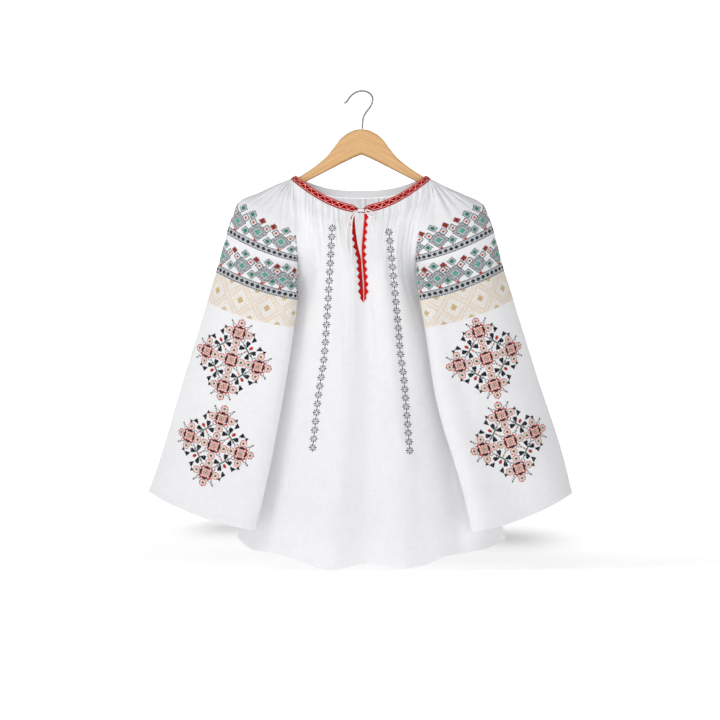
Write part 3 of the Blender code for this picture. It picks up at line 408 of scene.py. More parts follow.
THREADS = {
    "charcoal": (52, 54, 60),
    "black": (34, 36, 42),
    "dark_grey": (96, 100, 106),
    "grey": (148, 154, 157),
    "pale_grey": (186, 190, 194),
    "light_grey": (220, 223, 226),
    "white": (252, 252, 253),
    "teal": (70, 148, 130),
    "mint": (84, 196, 164),
    "green": (52, 120, 86),
    "red": (196, 50, 44),
    "dull_red": (158, 56, 54),
    "salmon": (222, 124, 106),
    "pink": (245, 214, 203),
    "cream": (252, 247, 241),
    "beige": (248, 239, 229),
    "tan": (231, 212, 188),
    "gold": (216, 191, 141),
    "star_grey": (36, 40, 46),
    "band_red": (216, 0, 8),
    "band_dark": (156, 0, 6),
    "band_pink": (250, 204, 198),
}
THREAD_NAMES = ("none",) + tuple(THREADS)

DARK_BAND_CHART = (
    "KKWKKKWKK",
    "WKGWKWGKW",
    "GWGWWWGWG",
    "WGWKKKWGW",
    "GWKKKKKWG",
    "WKKKKKKKW",
    "WKKKKKKKW",
    "GWKKKKKWG",
    "WGWKKKWGW",
    "GWGWWWGWG",
    "WKGWKWGKW",
    "KKWKKKWKK",
)
CHART_LETTERS = {"K": "charcoal", "G": "pale_grey", "W": "light_grey"}

# Metres between the threads of the weave and of the braid
THREAD_PITCH = 0.0006

# Camera: the picture is 1188 mm across at the blouse
VIEW_CENTRE = (-3.3, -441.5)
VIEW_WIDTH = 1188.0
CAMERA_DISTANCE = 6000.0
SENSOR_WIDTH = 36.0
ROOM_LIGHT = 0.16
# White paper: how bright it is near the blouse and far off, and from where to where it changes
PAPER_GLOW = (0.66, 0.90)
PAPER_REACH = (500.0, 2500.0)
# Painted shadows where the paper is less bright, and painted light where how much is below nought: x, y,
# half width, half depth, how much
PAPER_PAINTED_SHADE_AND_LIGHT = (
    (282.0, 1120.0, 95.0, 380.0, 0.42),
    (-268.0, 1560.0, 82.0, 380.0, 0.36),
    (520.0, 700.0, 240.0, 520.0, -0.08),
)
# The paper is a wide shallow bowl: distance from the middle and height
BOWL = {
    "reach": (0.0, 150.0, 400.0, 800.0, 1500.0, 3000.0, 5000.0, 6800.0, 7600.0, 8400.0, 9000.0),
    "z": (-789.0, -789.0, -789.0, -789.0, -789.0, -789.0, -789.0, -789.0, -500.0, 200.0, 1300.0),
}
BOWL_TURNS = 96


# Small tools

def smooth(keys, values, at):
    """Read a table at any place, on a smooth curve through its rows (Catmull-Rom tangents)."""
    keys = np.asarray(keys, dtype=float)
    values = np.asarray(values, dtype=float)
    at = np.clip(np.asarray(at, dtype=float), keys[0], keys[-1])
    slopes = np.gradient(values, keys)
    low = np.clip(np.searchsorted(keys, at, side="right") - 1, 0, len(keys) - 2)
    span = keys[low + 1] - keys[low]
    share = (at - keys[low]) / span
    start = values[low] * (1 + 2 * share) * (1 - share) ** 2
    end = values[low + 1] * share ** 2 * (3 - 2 * share)
    lean = slopes[low] * span * share * (1 - share) ** 2
    lean_end = slopes[low + 1] * span * share ** 2 * (share - 1)
    return start + end + lean + lean_end


def read_table(table, at, key="share"):
    """Every column of a table at a place."""
    return {name: smooth(table[key], column, at) for name, column in table.items()}


def ease(share):
    """0 to 1 with a level start and end."""
    share = np.clip(share, 0.0, 1.0)
    return share * share * (3 - 2 * share)


def mix(start, end, share):
    """The point that lies the given share of the way from start to end."""
    return start + (end - start) * share


def unit(vectors):
    """Vectors scaled to length one."""
    return vectors / np.maximum(np.linalg.norm(vectors, axis=-1, keepdims=True), 1e-9)


def fold_height(folds, place, share, start_key, end_key):
    """Sum of soft ridges and troughs, each a bell across the cloth that drifts as it runs down."""
    total = 0.0
    for fold in folds:
        middle = mix(fold[start_key], fold[end_key], share)
        height = mix(fold[start_key + "_out"], fold[end_key + "_out"], share)
        total = total + height * np.exp(-((place - middle) / fold["width"]) ** 2)
    return total


def crease_height(creases, place, down):
    """Sum of short creases: a bell across, that swells and fades from its top to its low end."""
    total = np.zeros(np.broadcast(place, down).shape)
    for crease in creases:
        share = np.clip((down - crease["top"]) / (crease["low"] - crease["top"]), 0, 1)
        middle = mix(crease["upper"], crease["lower"], share)
        swell = np.sin(np.pi * share) ** 0.8
        total = total + crease["out"] * swell * np.exp(-((place - middle) / crease["width"]) ** 2)
    return total


def ripple(across, down, seed):
    """Slight unevenness of hanging cloth: six long waves of different lengths and directions."""
    draw = np.random.default_rng(seed)
    total = np.zeros(np.broadcast(across, down).shape)
    for _ in range(6):
        wave_across = draw.uniform(22.0, 60.0)
        wave_down = draw.uniform(90.0, 260.0) * draw.choice((-1.0, 1.0))
        phase = draw.uniform(0, 2 * np.pi)
        total = total + np.sin(2 * np.pi * (across / wave_across + down / wave_down) + phase)
    return total / 6


# Forms of the blouse

def neck_ring(angle, side_y):
    """Lower edge of the neckband at an angle from the middle, in degrees, negative to the left.

    The plan is half an ellipse, and the height rises from the middle to the shoulders by a power
    of the distance from the middle. side_y is -1 in front and 1 behind.
    """
    turn = np.radians(angle)
    across = np.sin(turn)
    depth = np.where(side_y < 0, NECK_FRONT_DEPTH, NECK_BACK_DEPTH)
    drop = np.where(side_y < 0, NECK_FRONT_DROP, NECK_BACK_DROP)
    power = np.where(side_y < 0, NECK_FRONT_POWER, NECK_BACK_POWER)
    height = NECK_SIDE_Z - drop * (1 - np.abs(across) ** power)
    x = NECK_CENTRE_X + NECK_HALF_WIDTH * across
    y = side_y * depth * np.cos(turn)
    return np.stack([x, y, height], axis=-1)


def band_top(angle, side_y):
    """Upper edge of the neckband, leaning in from the lower edge and drooping to the tie."""
    turn = np.radians(angle)
    across = np.sin(turn)
    depth = np.where(side_y < 0, NECK_FRONT_DEPTH, NECK_BACK_DEPTH) - BAND_LEAN
    drop = np.where(side_y < 0, BAND_FRONT_DROP, BAND_BACK_DROP)
    power = np.where(side_y < 0, NECK_FRONT_POWER, NECK_BACK_POWER)
    x = NECK_CENTRE_X + BAND_HALF_WIDTH * across
    height = BAND_SIDE_Z - drop * (1 - np.abs(across) ** power)
    droop = BAND_END_DROOP * np.exp(-((x - NECK_CENTRE_X) / BAND_END_REACH) ** 2)
    height = height - np.where(side_y < 0, droop, 0.0)
    return np.stack([x, side_y * depth * np.cos(turn), height], axis=-1)


def gather_wave(place, count, share_down):
    """Gathers of uneven spacing that deepen just under the band and fade further down."""
    warped = place + 0.018 * np.sin(place * 9.0 + 0.7) + 0.011 * np.sin(place * 21.0 + 2.0)
    wave = np.cos(np.pi * count * warped)
    uneven = 0.75 + 0.25 * np.sin(place * 13.0 + 1.0)
    reach = 0.55 + 0.2 * np.sin(place * 17.0)
    fade = np.clip(1.0 - share_down / reach, 0.0, 1.0)
    rise = 0.55 + 0.45 * ease(share_down / 0.12)
    return GATHER_EVEN * GATHER_DEPTH * wave * uneven * fade * rise


def draw_tucks(seed, count, low, high, spread):
    """Uneven small tucks under the band: place, drift, half width, how far out, and length."""
    draw = np.random.default_rng(seed)
    pitch = (high - low) / count
    places = low + pitch * (np.arange(count) + 0.5 + draw.uniform(-0.45, 0.45, count))
    drifts = draw.uniform(-1.6, 1.6, count) * pitch
    outs = draw.uniform(0.9, 3.8, count) * np.where(draw.random(count) < 0.5, 1.0, -1.0)
    widths = draw.uniform(0.6, 1.4, count) * np.where(outs > 0, 1.2, 0.75) * spread
    lengths = draw.choice((0.18, 0.26, 0.36, 0.5, 0.7, 1.0), count)
    return np.stack([places, drifts, widths, outs, lengths], axis=-1)


def tuck_height(tucks, place, share_down):
    """Sum of the tucks: each a bell across that drifts, widens and fades as it runs down."""
    total = 0.0
    start = 0.45 + 0.55 * ease(share_down / 0.08)
    for middle, drift, width, out, length in tucks:
        fade = np.clip(1.0 - share_down / length, 0.0, 1.0) ** 0.8
        away = (place - middle - drift * share_down) / (width * (1 + share_down))
        total = total + out * fade * np.exp(-away ** 2)
    return total * start


FRONT_TUCKS = draw_tucks(3, 74, -0.98, 0.98, 0.016)
BACK_TUCKS = draw_tucks(4, 60, -0.98, 0.98, 0.018)
SLEEVE_TUCKS = draw_tucks(5, 30, 0.02, 0.98, 0.016)


def seam_x(side, share):
    """x of a raglan seam at a share of the way from the neck to the armpit."""
    return smooth(RAGLAN_SEAMS["share"], RAGLAN_SEAMS[side + "_x"], share)


def seam_z(share, side_y):
    """Height of a raglan seam at that share."""
    start = neck_ring(RAGLAN_NECK_ANGLE, side_y)[..., 2]
    return mix(start, ARMPIT_Z, share)


def middle_x(height, half):
    """x of the front's middle: a slit edge above the slit's end, the centre line below."""
    edge = smooth(SLIT_EDGES["z"], SLIT_EDGES[half + "_x"], height)
    centre = smooth(FRONT_CENTRE["z"], FRONT_CENTRE["x"], height)
    return np.where(height > SLIT_END_Z, edge, centre)


def across_body(place, left, middle, right):
    """x at a place from -1 to 1 between the left edge, the middle and the right edge."""
    return np.where(place < 0, mix(middle, left, -place), mix(middle, right, place))


def upper_body(place, share, side_y, half):
    """Panel points between the neck ring and the armpit."""
    front = side_y < 0
    seam = read_table(RAGLAN_SEAMS, share)
    neck_middle = middle_x(-200.0, half) if front else NECK_CENTRE_X
    ring_x = across_body(place, seam_x("left", 0.0), neck_middle, seam_x("right", 0.0))
    angle = np.degrees(np.arcsin(np.clip((ring_x - NECK_CENTRE_X) / NECK_HALF_WIDTH, -1, 1)))
    ring = neck_ring(angle, side_y)
    height = mix(ring[..., 2], ARMPIT_Z, share)
    middle = middle_x(height, half) if front else NECK_CENTRE_X
    x = across_body(place, seam["left_x"], middle, seam["right_x"])
    edge_y = seam["front_y" if front else "back_y"]
    chest = BODY_SIDES["front_depth" if front else "back_depth"][-1]
    neck_depth = NECK_FRONT_DEPTH if front else NECK_BACK_DEPTH
    depth = mix(neck_depth, chest, share)
    bow = 1 - np.abs(place) ** BODY_BOW
    lean_y = side_y * seam["body_y"]
    y = lean_y + (side_y * depth - lean_y) * bow + (edge_y - lean_y) * np.abs(place) ** BODY_TUCK
    near_neck = 1 - ease(share / NECK_REACH)
    x = mix(x, ring[..., 0], near_neck)
    y = mix(y, ring[..., 1], near_neck)
    return np.stack([x, y, height], axis=-1)


def lower_body(place, share, side_y, half):
    """Panel points between the armpit and the hem."""
    front = side_y < 0
    hem = FRONT_HEM if front else BACK_HEM
    hem_middle = FRONT_CENTRE["x"][0] if front else NECK_CENTRE_X
    hem_x = across_body(place, BODY_SIDES["left_x"][0], hem_middle, BODY_SIDES["right_x"][0])
    height = mix(ARMPIT_Z, smooth(hem["x"], hem["z"], hem_x), share)
    sides = read_table(BODY_SIDES, height, "z")
    middle = middle_x(height, half) if front else mix(NECK_CENTRE_X, BACK_HEM_MIDDLE, share)
    x = across_body(place, sides["left_x"], middle, sides["right_x"])
    depth = sides["front_depth" if front else "back_depth"]
    side = sides["side_y"]
    bow = 1 - np.abs(place) ** BODY_BOW
    chest_y = side_y * RAGLAN_SEAMS["body_y"][-1]
    lean_y = mix(chest_y, BODY_SIDES["side_y"][0], ease((ARMPIT_Z - height) / SIDE_SETTLE))
    y = lean_y + (side_y * depth - lean_y) * bow + (side - lean_y) * np.abs(place) ** BODY_TUCK
    return np.stack([x, y, height], axis=-1)


def body_point(place, zone, share, side_y, half="left"):
    """A point of the front (side_y -1) or back (side_y 1) with folds, gathers and creases."""
    front = side_y < 0
    folds = FRONT_FOLDS if front else BACK_FOLDS
    count = FRONT_GATHERS if front else BACK_GATHERS
    edge_fade = np.clip((1 - np.abs(place)) / 0.10, 0, 1)
    if zone == "upper":
        point = upper_body(place, share, side_y, half)
        tucks = tuck_height(FRONT_TUCKS if front else BACK_TUCKS, place, share)
        out = (gather_wave(place, count, share) + tucks) * edge_fade
        if front:
            out = out * (0.15 + 0.85 * ease((np.abs(place) - 0.07) / 0.10))
        out = out + fold_height(folds, place, 0.0, "chest", "hem") * ease(share) * edge_fade
        creased = ease(share / 0.2)
    else:
        point = lower_body(place, share, side_y, half)
        out = fold_height(folds, place, share, "chest", "hem") * edge_fade
        creased = 1.0
    creases = FRONT_CREASES if front else BACK_CREASES
    near_slit = ease((np.abs(place) - 0.05) / 0.08) if front else 1.0
    extra = crease_height(creases, place, point[..., 2]) * near_slit
    extra = extra + 0.8 * ripple(point[..., 0], point[..., 2], 11 if front else 12) * near_slit
    point = point.copy()
    point[..., 1] += side_y * (out + extra * creased * edge_fade)
    return point


def sleeve_section(around, zone, share, side):
    """A point of a sleeve before folds. around is 0 at the front seam, 0.5 outside, 1 behind.

    A row runs from the inner edge to the outer edge and back, as a flattened ellipse: the way
    across is (1 - cos) / 2 of the turn and the depth is the half depth times its sine. At the
    neck the way across is the sine of half the turn, so that the cloth leaves the raglan seams
    flat and is round only over the shoulder.
    """
    turn = 2 * np.pi * around
    across = (1 - np.cos(turn)) / 2
    in_front = around < 0.5
    if zone == "upper":
        across = mix(np.sin(turn / 2), across, ease(share))
        seam = read_table(RAGLAN_SEAMS, share)
        head = read_table(SLEEVE_HEADS, share)
        inner_x = seam[side + "_x"]
        inner_z = np.where(in_front, seam_z(share, -1.0), seam_z(share, 1.0))
        inner_y = np.where(in_front, seam["front_y"], seam["back_y"])
        lean_y = np.where(in_front, seam["sleeve_front_y"], seam["sleeve_back_y"])
        outer_x, outer_y, outer_z = head[side + "_x"], 0.0, head[side + "_z"]
        bulge, sag = head["bulge"], head["sag"]
    else:
        tube = read_table(SLEEVE_TUBES, share)
        inner_x, inner_y, inner_z = tube[side + "_inner_x"], tube["inner_y"], tube[side + "_inner_z"]
        lean_y = np.where(in_front, tube["sleeve_front_y"], tube["sleeve_back_y"])
        outer_x, outer_y, outer_z = tube[side + "_outer_x"], tube["outer_y"], tube[side + "_outer_z"]
        bulge, sag = np.where(in_front, tube["front_bulge"], tube["back_bulge"]), tube["sag"]
    x = mix(inner_x, outer_x, across)
    z = mix(inner_z, outer_z, across) - sag * np.sin(turn) ** 2
    y = mix(lean_y, outer_y, across) - bulge * np.sin(turn)
    y = y + (inner_y - lean_y) * (1 - across) ** ARMPIT_TUCK
    return np.stack(np.broadcast_arrays(x, y, z), axis=-1)


def sleeve_point(around, zone, share, side):
    """A point of a sleeve: its section, fitted to the neck ring, with folds and creases."""
    point = sleeve_section(around, zone, share, side)
    in_front = around < 0.5
    shoulder = np.exp(-((around - 0.5) / SHOULDER_REACH) ** 2)
    down = share + (0.0 if zone == "upper" else 1.0)
    if zone == "upper":
        toward = -1.0 if side == "left" else 1.0
        angle = toward * mix(RAGLAN_NECK_ANGLE, 90.0, 1 - np.abs(1 - 2 * around))
        ring = neck_ring(angle, np.where(in_front, -1.0, 1.0))
        misfit = ring - sleeve_section(around, zone, np.zeros_like(share), side)
        point = point + misfit * (1 - ease(share / SLEEVE_NECK_REACH))[..., None]
        out = SLEEVE_GATHER_DEPTH * np.cos(2 * np.pi * SLEEVE_GATHERS * around)
        out = out * np.clip(1 - share, 0, 1) ** 0.7 * ease((share - 0.06) / 0.35)
        out = out + 1.8 * tuck_height(SLEEVE_TUCKS, around, share) * ease(share / 0.2)
        out = out + fold_height(SLEEVE_FOLDS, around, 0.0, "top", "cuff") * ease(share)
        out = out * (1 - shoulder)
    else:
        out = fold_height(SLEEVE_FOLDS, around, share, "top", "cuff")
        out = out * (1 - (1 - share) ** 3 * shoulder)
    extra = crease_height(SLEEVE_CREASES, around, down)
    extra = extra + 0.6 * ripple(point[..., 0], point[..., 2], 21) * ease(down / 0.3) * (1 - shoulder)
    edge_fade = np.clip(np.minimum(around, 1 - around) / 0.06, 0, 1)
    point[..., 1] += np.where(in_front, -1.0, 1.0) * (out + extra) * edge_fade
    return point


# Cloth sheets

def grid_numbers(grid):
    """Vertex numbers of a grid of points, row by row."""
    return np.arange(grid.shape[0] * grid.shape[1]).reshape(grid.shape[:2])


def quads_between(numbers):
    """Four-sided faces of a grid of vertex numbers, row by row."""
    a = numbers[:-1, :-1].ravel()
    b = numbers[:-1, 1:].ravel()
    c = numbers[1:, 1:].ravel()
    d = numbers[1:, :-1].ravel()
    return np.stack([a, b, c, d], axis=-1)


def point_normals(points, quads):
    """Vertex normals: the sum of the crossed diagonals of the faces round each vertex."""
    corner = points[quads]
    normal = np.cross(corner[:, 2] - corner[:, 0], corner[:, 3] - corner[:, 1])
    total = np.zeros_like(points)
    for k in range(4):
        np.add.at(total, quads[:, k], normal)
    return unit(total)


def flat_lengths(grid):
    """Length across each row from its first point, and mean length down, both in millimetres."""
    across = np.linalg.norm(np.diff(grid, axis=1), axis=-1)
    across = np.concatenate([np.zeros((len(grid), 1)), np.cumsum(across, axis=1)], axis=1)
    down = np.linalg.norm(np.diff(grid, axis=0), axis=-1).mean(axis=1)
    down = np.concatenate([[0.0], np.cumsum(down)])
    return across, np.broadcast_to(down[:, None], across.shape)


class Cloth:
    """One sheet: its points, faces, normals, flat lengths and wall thickness, in millimetres."""

    def __init__(self, points, quads, flat):
        self.points = points
        self.quads = quads
        self.flat = flat
        self.normals = point_normals(points, quads)
        self.wall = np.full(len(points), LINEN_WALL)


def grid_cloth(grid, zero, turned=False):
    """A sheet from one grid of points. zero takes the lengths across and says where they are 0."""
    ids = grid_numbers(grid)
    across, down = flat_lengths(grid)
    flat = np.stack([across - zero(across), down], axis=-1)
    quads = quads_between(ids)
    cloth = Cloth(grid.reshape(-1, 3), quads[:, ::-1] if turned else quads, flat.reshape(-1, 2))
    cloth.ids = (ids,)
    return cloth


def zone_rows(upper, lower):
    """Every row as its zone and share, the armpit row once."""
    rows = [("upper", i / upper) for i in range(upper + 1)]
    return rows + [("lower", i / lower) for i in range(1, lower + 1)]


def body_grid(places, side_y, half):
    """Grid of body points, row by row from the neck to the hem."""
    grid = []
    for zone, share in zone_rows(UPPER_ROWS, BODY_LOWER_ROWS):
        grid.append(body_point(places, zone, np.full_like(places, share), side_y, half))
    grid = np.array(grid)
    grid[0, :, 2] -= NECK_EDGE_GAP
    return grid


def front_cloth():
    """The front: two halves that share their middle column below the slit's end."""
    left = body_grid(np.linspace(-1, 0, FRONT_HALF_COLUMNS + 1), -1.0, "left")
    right = body_grid(np.linspace(0, 1, FRONT_HALF_COLUMNS + 1), -1.0, "right")
    left_ids = grid_numbers(left)
    right_ids = left_ids + left_ids.size
    end = UPPER_ROWS + SLIT_END_ROW
    right_ids[end:, 0] = left_ids[end:, -1]
    points = np.vstack([left.reshape(-1, 3), right.reshape(-1, 3)])
    quads = np.vstack([quads_between(left_ids), quads_between(right_ids)])
    across_left, down = flat_lengths(left)
    across_right, _ = flat_lengths(right)
    flat_left = np.stack([across_left - across_left[:, -1:], down], axis=-1).reshape(-1, 2)
    flat_right = np.stack([across_right, down], axis=-1).reshape(-1, 2)
    cloth = Cloth(points, quads[:, ::-1], np.vstack([flat_left, flat_right]))
    cloth.left = left_ids[:, 0]
    cloth.right = right_ids[:, -1]
    cloth.ids = (left_ids, right_ids)
    return cloth


def back_cloth():
    """The back, one panel."""
    grid = body_grid(np.linspace(-1, 1, BACK_COLUMNS + 1), 1.0, "left")
    cloth = grid_cloth(grid, lambda across: across.mean(axis=1, keepdims=True))
    cloth.left, cloth.right = cloth.ids[0][:, 0], cloth.ids[0][:, -1]
    return cloth


def sleeve_cloth(side):
    """A sleeve from its front seam over the shoulder to its back seam."""
    around = np.linspace(0.0, 1.0, SLEEVE_COLUMNS + 1)
    grid = []
    for zone, share in zone_rows(UPPER_ROWS, SLEEVE_LOWER_ROWS):
        grid.append(sleeve_point(around, zone, np.full_like(around, share), side))
    grid = np.array(grid)
    grid[0, :, 2] -= NECK_EDGE_GAP
    cloth = grid_cloth(grid, lambda across: across[:, SLEEVE_COLUMNS // 2, None], side == "right")
    cloth.front, cloth.back = cloth.ids[0][:, 0], cloth.ids[0][:, -1]
    return cloth


def part_seam(first, first_ids, second, second_ids):
    """Set two pieces half the seam gap back from their common seam, with one normal there."""
    seam = (first.points[first_ids] + second.points[second_ids]) / 2
    normals = unit(first.normals[first_ids] + second.normals[second_ids])
    side = unit(np.cross(unit(np.gradient(seam, axis=0)), normals))
    away = first.points.mean(axis=0) - second.points.mean(axis=0)
    sign = 1.0 if (side.mean(axis=0) @ away) > 0 else -1.0
    first.points[first_ids] = seam + sign * side * SEAM_SET
    second.points[second_ids] = seam - sign * side * SEAM_SET
    first.normals[first_ids] = normals
    second.normals[second_ids] = normals


def part_edges(first, first_ids, second, second_ids, facing):
    """Open a seam whose two edges lie one in front of the other, by the seam gap."""
    seam = (first.points[first_ids] + second.points[second_ids]) / 2
    step = np.array([0.0, SEAM_SET, 0.0])
    first.points[first_ids] = seam - step
    second.points[second_ids] = seam + step
    first.normals[first_ids] = facing
    second.normals[second_ids] = facing


def draw_armpit_apart(front, back, sleeve, front_ids, back_ids, toward):
    """Draw the body and the sleeve apart in x where all four seams meet."""
    move = np.array([ARMPIT_CLEARANCE * toward, 0.0, 0.0])
    front.points[front_ids[UPPER_ROWS]] -= move
    back.points[back_ids[UPPER_ROWS]] -= move
    sleeve.points[sleeve.front[UPPER_ROWS]] += move
    sleeve.points[sleeve.back[UPPER_ROWS]] += move


def thicken_hem(cloth, rows):
    """A narrow turned hem: the wall is thicker over the last rows and dips at its stitch line."""
    for ids in cloth.ids:
        cloth.wall[ids[-rows - 1:]] = LINEN_WALL * 2.0
        cloth.wall[ids[-rows - 2]] = LINEN_WALL * 0.8


def blouse_cloth():
    """Front, back and both sleeves, parted at every seam."""
    front = front_cloth()
    back = back_cloth()
    sleeves = {"left": sleeve_cloth("left"), "right": sleeve_cloth("right")}
    for side, toward in (("left", -1.0), ("right", 1.0)):
        sleeve = sleeves[side]
        front_ids = getattr(front, side)
        back_ids = getattr(back, side)
        outward = np.array([toward, 0.0, 0.0])
        part_seam(front, front_ids[:UPPER_ROWS], sleeve, sleeve.front[:UPPER_ROWS])
        part_seam(back, back_ids[:UPPER_ROWS], sleeve, sleeve.back[:UPPER_ROWS])
        part_edges(sleeve, sleeve.front[UPPER_ROWS:], sleeve, sleeve.back[UPPER_ROWS:], -outward)
        part_edges(front, front_ids[UPPER_ROWS:], back, back_ids[UPPER_ROWS:], outward)
        draw_armpit_apart(front, back, sleeve, front_ids, back_ids, toward)
        thicken_hem(sleeve, HEM_ROWS_SLEEVE)
    thicken_hem(front, HEM_ROWS_BODY)
    thicken_hem(back, HEM_ROWS_BODY)
    return front, back, sleeves


def rim_edges(quads, count):
    """Edges that belong to one face only, in that face's direction."""
    starts = quads.ravel()
    ends = np.roll(quads, -1, axis=1).ravel()
    single = ~np.isin(starts * count + ends, ends * count + starts)
    return starts[single], ends[single]


def make_mesh(name, points, faces, surfaces):
    """A piece at the origin with its place in its mesh. points are in millimetres."""
    mesh = bpy.data.meshes.new(name)
    mesh.from_pydata((np.asarray(points) * MM).tolist(), [], [tuple(face) for face in faces])
    for surface in surfaces:
        mesh.materials.append(surface)
    mesh.shade_smooth()
    made = bpy.data.objects.new(name, mesh)
    bpy.context.collection.objects.link(made)
    return made


def add_uv(made, flat, name):
    """A UV map from one pair of numbers for each vertex."""
    mesh = made.data
    corners = np.empty(len(mesh.loops), dtype=np.int64)
    mesh.loops.foreach_get("vertex_index", corners)
    layer = mesh.uv_layers.new(name=name)
    layer.data.foreach_set("uv", flat[corners].astype(np.float32).ravel())


def sew_wall(name, cloth, surfaces):
    """A closed thin wall: the sheet moved out and in by half its thickness, joined at its rim."""
    count = len(cloth.points)
    push = cloth.normals * cloth.wall[:, None] / 2
    points = np.vstack([cloth.points + push, cloth.points - push])
    inner = cloth.quads[:, ::-1] + count
    starts, ends = rim_edges(cloth.quads, count)
    rim = np.stack([ends, starts, starts + count, ends + count], axis=-1)
    made = make_mesh(name, points, np.vstack([cloth.quads, inner, rim]).tolist(), surfaces)
    add_uv(made, np.vstack([cloth.flat, cloth.flat]) * MM, "cloth")
    if len(surfaces) > 1:
        slots = np.zeros(len(made.data.polygons), dtype=np.int32)
        slots[len(cloth.quads):len(cloth.quads) * 2] = 1
        made.data.polygons.foreach_set("material_index", slots)
    made.data.set_sharp_from_angle(angle=math.radians(60))
    return made


# Counted stitches

def between_rows(row, *grids):
    """Each grid's line at a row number that may lie between two rows."""
    low = min(int(row), len(grids[0]) - 2)
    return [mix(grid[low], grid[low + 1], row - low) for grid in grids]


def chart_corners(cloth, zero_row, v_values, u_values):
    """Where the corners of a flat chart lie on a sleeve, and which of them lie on the cloth.

    Each row of the chart is read at its length down from zero_row, then each corner at its
    length across from the sleeve's outer edge, both by straight lines between grid points.
    """
    ids = cloth.ids[0]
    surface = (cloth.points + cloth.normals * (cloth.wall[:, None] / 2 + STITCH_LIFT))[ids]
    normals = cloth.normals[ids]
    across = cloth.flat[ids][..., 0]
    down = cloth.flat[ids][:, 0, 1]
    zero = np.interp(zero_row, np.arange(len(down)), down)
    rows = np.interp(v_values + zero, down, np.arange(len(down)))
    corners = np.zeros((len(v_values), len(u_values), 3))
    facing = np.zeros_like(corners)
    inside = np.zeros(corners.shape[:2], dtype=bool)
    for j, row in enumerate(rows):
        lengths, line, line_normals = between_rows(row, across, surface, normals)
        at = np.interp(u_values, lengths, np.arange(len(lengths)))
        inside[j] = (u_values > lengths[0] + CHART_INSET) & (u_values < lengths[-1] - CHART_INSET)
        left = np.clip(at.astype(int), 0, len(lengths) - 2)
        part = (at - left)[:, None]
        corners[j] = mix(line[left], line[left + 1], part)
        facing[j] = mix(line_normals[left], line_normals[left + 1], part)
    return corners, unit(facing), inside


def stitch_pads(name, corners, facing, labels, surface, seed):
    """One small raised pad for each labelled cell: four corners on the cloth and a raised middle.

    The thread colour is a colour attribute and each pad has its own square of UV from 0 to 1, on
    which the two crossing threads of the stitch are drawn.
    """
    rows, columns = np.nonzero(labels)
    draw = np.random.default_rng(seed)
    ring = np.stack([corners[rows, columns], corners[rows, columns + 1],
                     corners[rows + 1, columns + 1], corners[rows + 1, columns]], axis=1)
    normal = facing[rows, columns]
    middle = ring.mean(axis=1)
    ring = mix(ring, middle[:, None], PAD_INSET)
    rise = STITCH_RISE * draw.uniform(0.85, 1.15, len(rows))
    middle = middle + normal * rise[:, None]
    points = np.concatenate([ring, middle[:, None]], axis=1).reshape(-1, 3)
    base = 5 * np.arange(len(rows))[:, None]
    faces = np.concatenate([base + np.array([[k, (k + 1) % 4, 4]]) for k in range(4)], axis=0)
    first = points[faces[0]]
    outward = np.cross(first[1] - first[0], first[2] - first[0]) @ normal[0]
    if outward < 0:
        faces = faces[:, ::-1]
    made = make_mesh(name, points, faces.tolist(), [surface])
    square = np.array([[0.0, 0.0], [1.0, 0.0], [1.0, 1.0], [0.0, 1.0], [0.5, 0.5]])
    add_uv(made, np.tile(square, (len(rows), 1)), "stitch")
    palette = np.array([[0.0, 0.0, 0.0]] + [linear_colour(THREADS[key]) for key in THREADS])
    shade = draw.uniform(0.90, 1.08, (len(rows), 1))
    colours = np.clip(palette[labels[rows, columns]] * shade, 0, 1)
    colours = np.repeat(colours, 5, axis=0)
    colours = np.concatenate([colours, np.ones((len(colours), 1))], axis=1)
    layer = made.data.color_attributes.new(name="thread", type="FLOAT_COLOR", domain="POINT")
    layer.data.foreach_set("color", colours.astype(np.float32).ravel())
    return made


def linear_colour(colour):
    """Linear light values of a colour given as 0 to 255 on a screen."""
    share = np.array(colour, dtype=float) / 255.0
    return tuple(np.where(share <= 0.04045, share / 12.92, ((share + 0.055) / 1.055) ** 2.4))


def code(name):
    """Number of a thread in the charts."""
    return THREAD_NAMES.index(name)


def lay(chart, where, name):
    """Write a thread into the chart's cells, over what lies there."""
    chart[where] = code(name)


def diamond_reach(u, v, middle_u, middle_v, spread=1.0):
    """Distance from a diamond's middle: steps across, shrunk by the spread, plus steps down.

    The diamond stands a little turned against the slope of the bands.
    """
    turn = math.radians(DIAMOND_TURN)
    du = (u - middle_u) * math.cos(turn) - (v - middle_v) * math.sin(turn)
    dv = (u - middle_u) * math.sin(turn) + (v - middle_v) * math.cos(turn)
    return np.abs(du) / spread + np.abs(dv)


def checker(u, v):
    """Every other stitch."""
    return (np.round(u / STITCH) + np.round(v / STITCH)) % 2 == 0


def big_diamond(chart, u, v, middle_u, middle_v):
    """Grey stepped diamond of fine rings with a green middle and a red point on the band."""
    reach = diamond_reach(u, v, middle_u, middle_v, DIAMOND_SPREAD)
    inside = reach < DIAMOND_HALF
    fine = checker(u, v)
    ring = (reach / (1.5 * STITCH)).astype(int) % 3 == 0
    lay(chart, inside, "grey")
    lay(chart, inside & fine, "light_grey")
    lay(chart, inside & ring & fine, "dark_grey")
    lay(chart, inside & (reach > DIAMOND_HALF - 1.3) & fine, "charcoal")
    lay(chart, reach < 6.0, "light_grey")
    lay(chart, reach < 4.8, "teal")
    lay(chart, reach < 2.9, "mint")
    foot = diamond_reach(u, v, middle_u, middle_v + DIAMOND_HALF - 0.4)
    lay(chart, foot < 3.9, "salmon")
    lay(chart, foot < 2.2, "red")


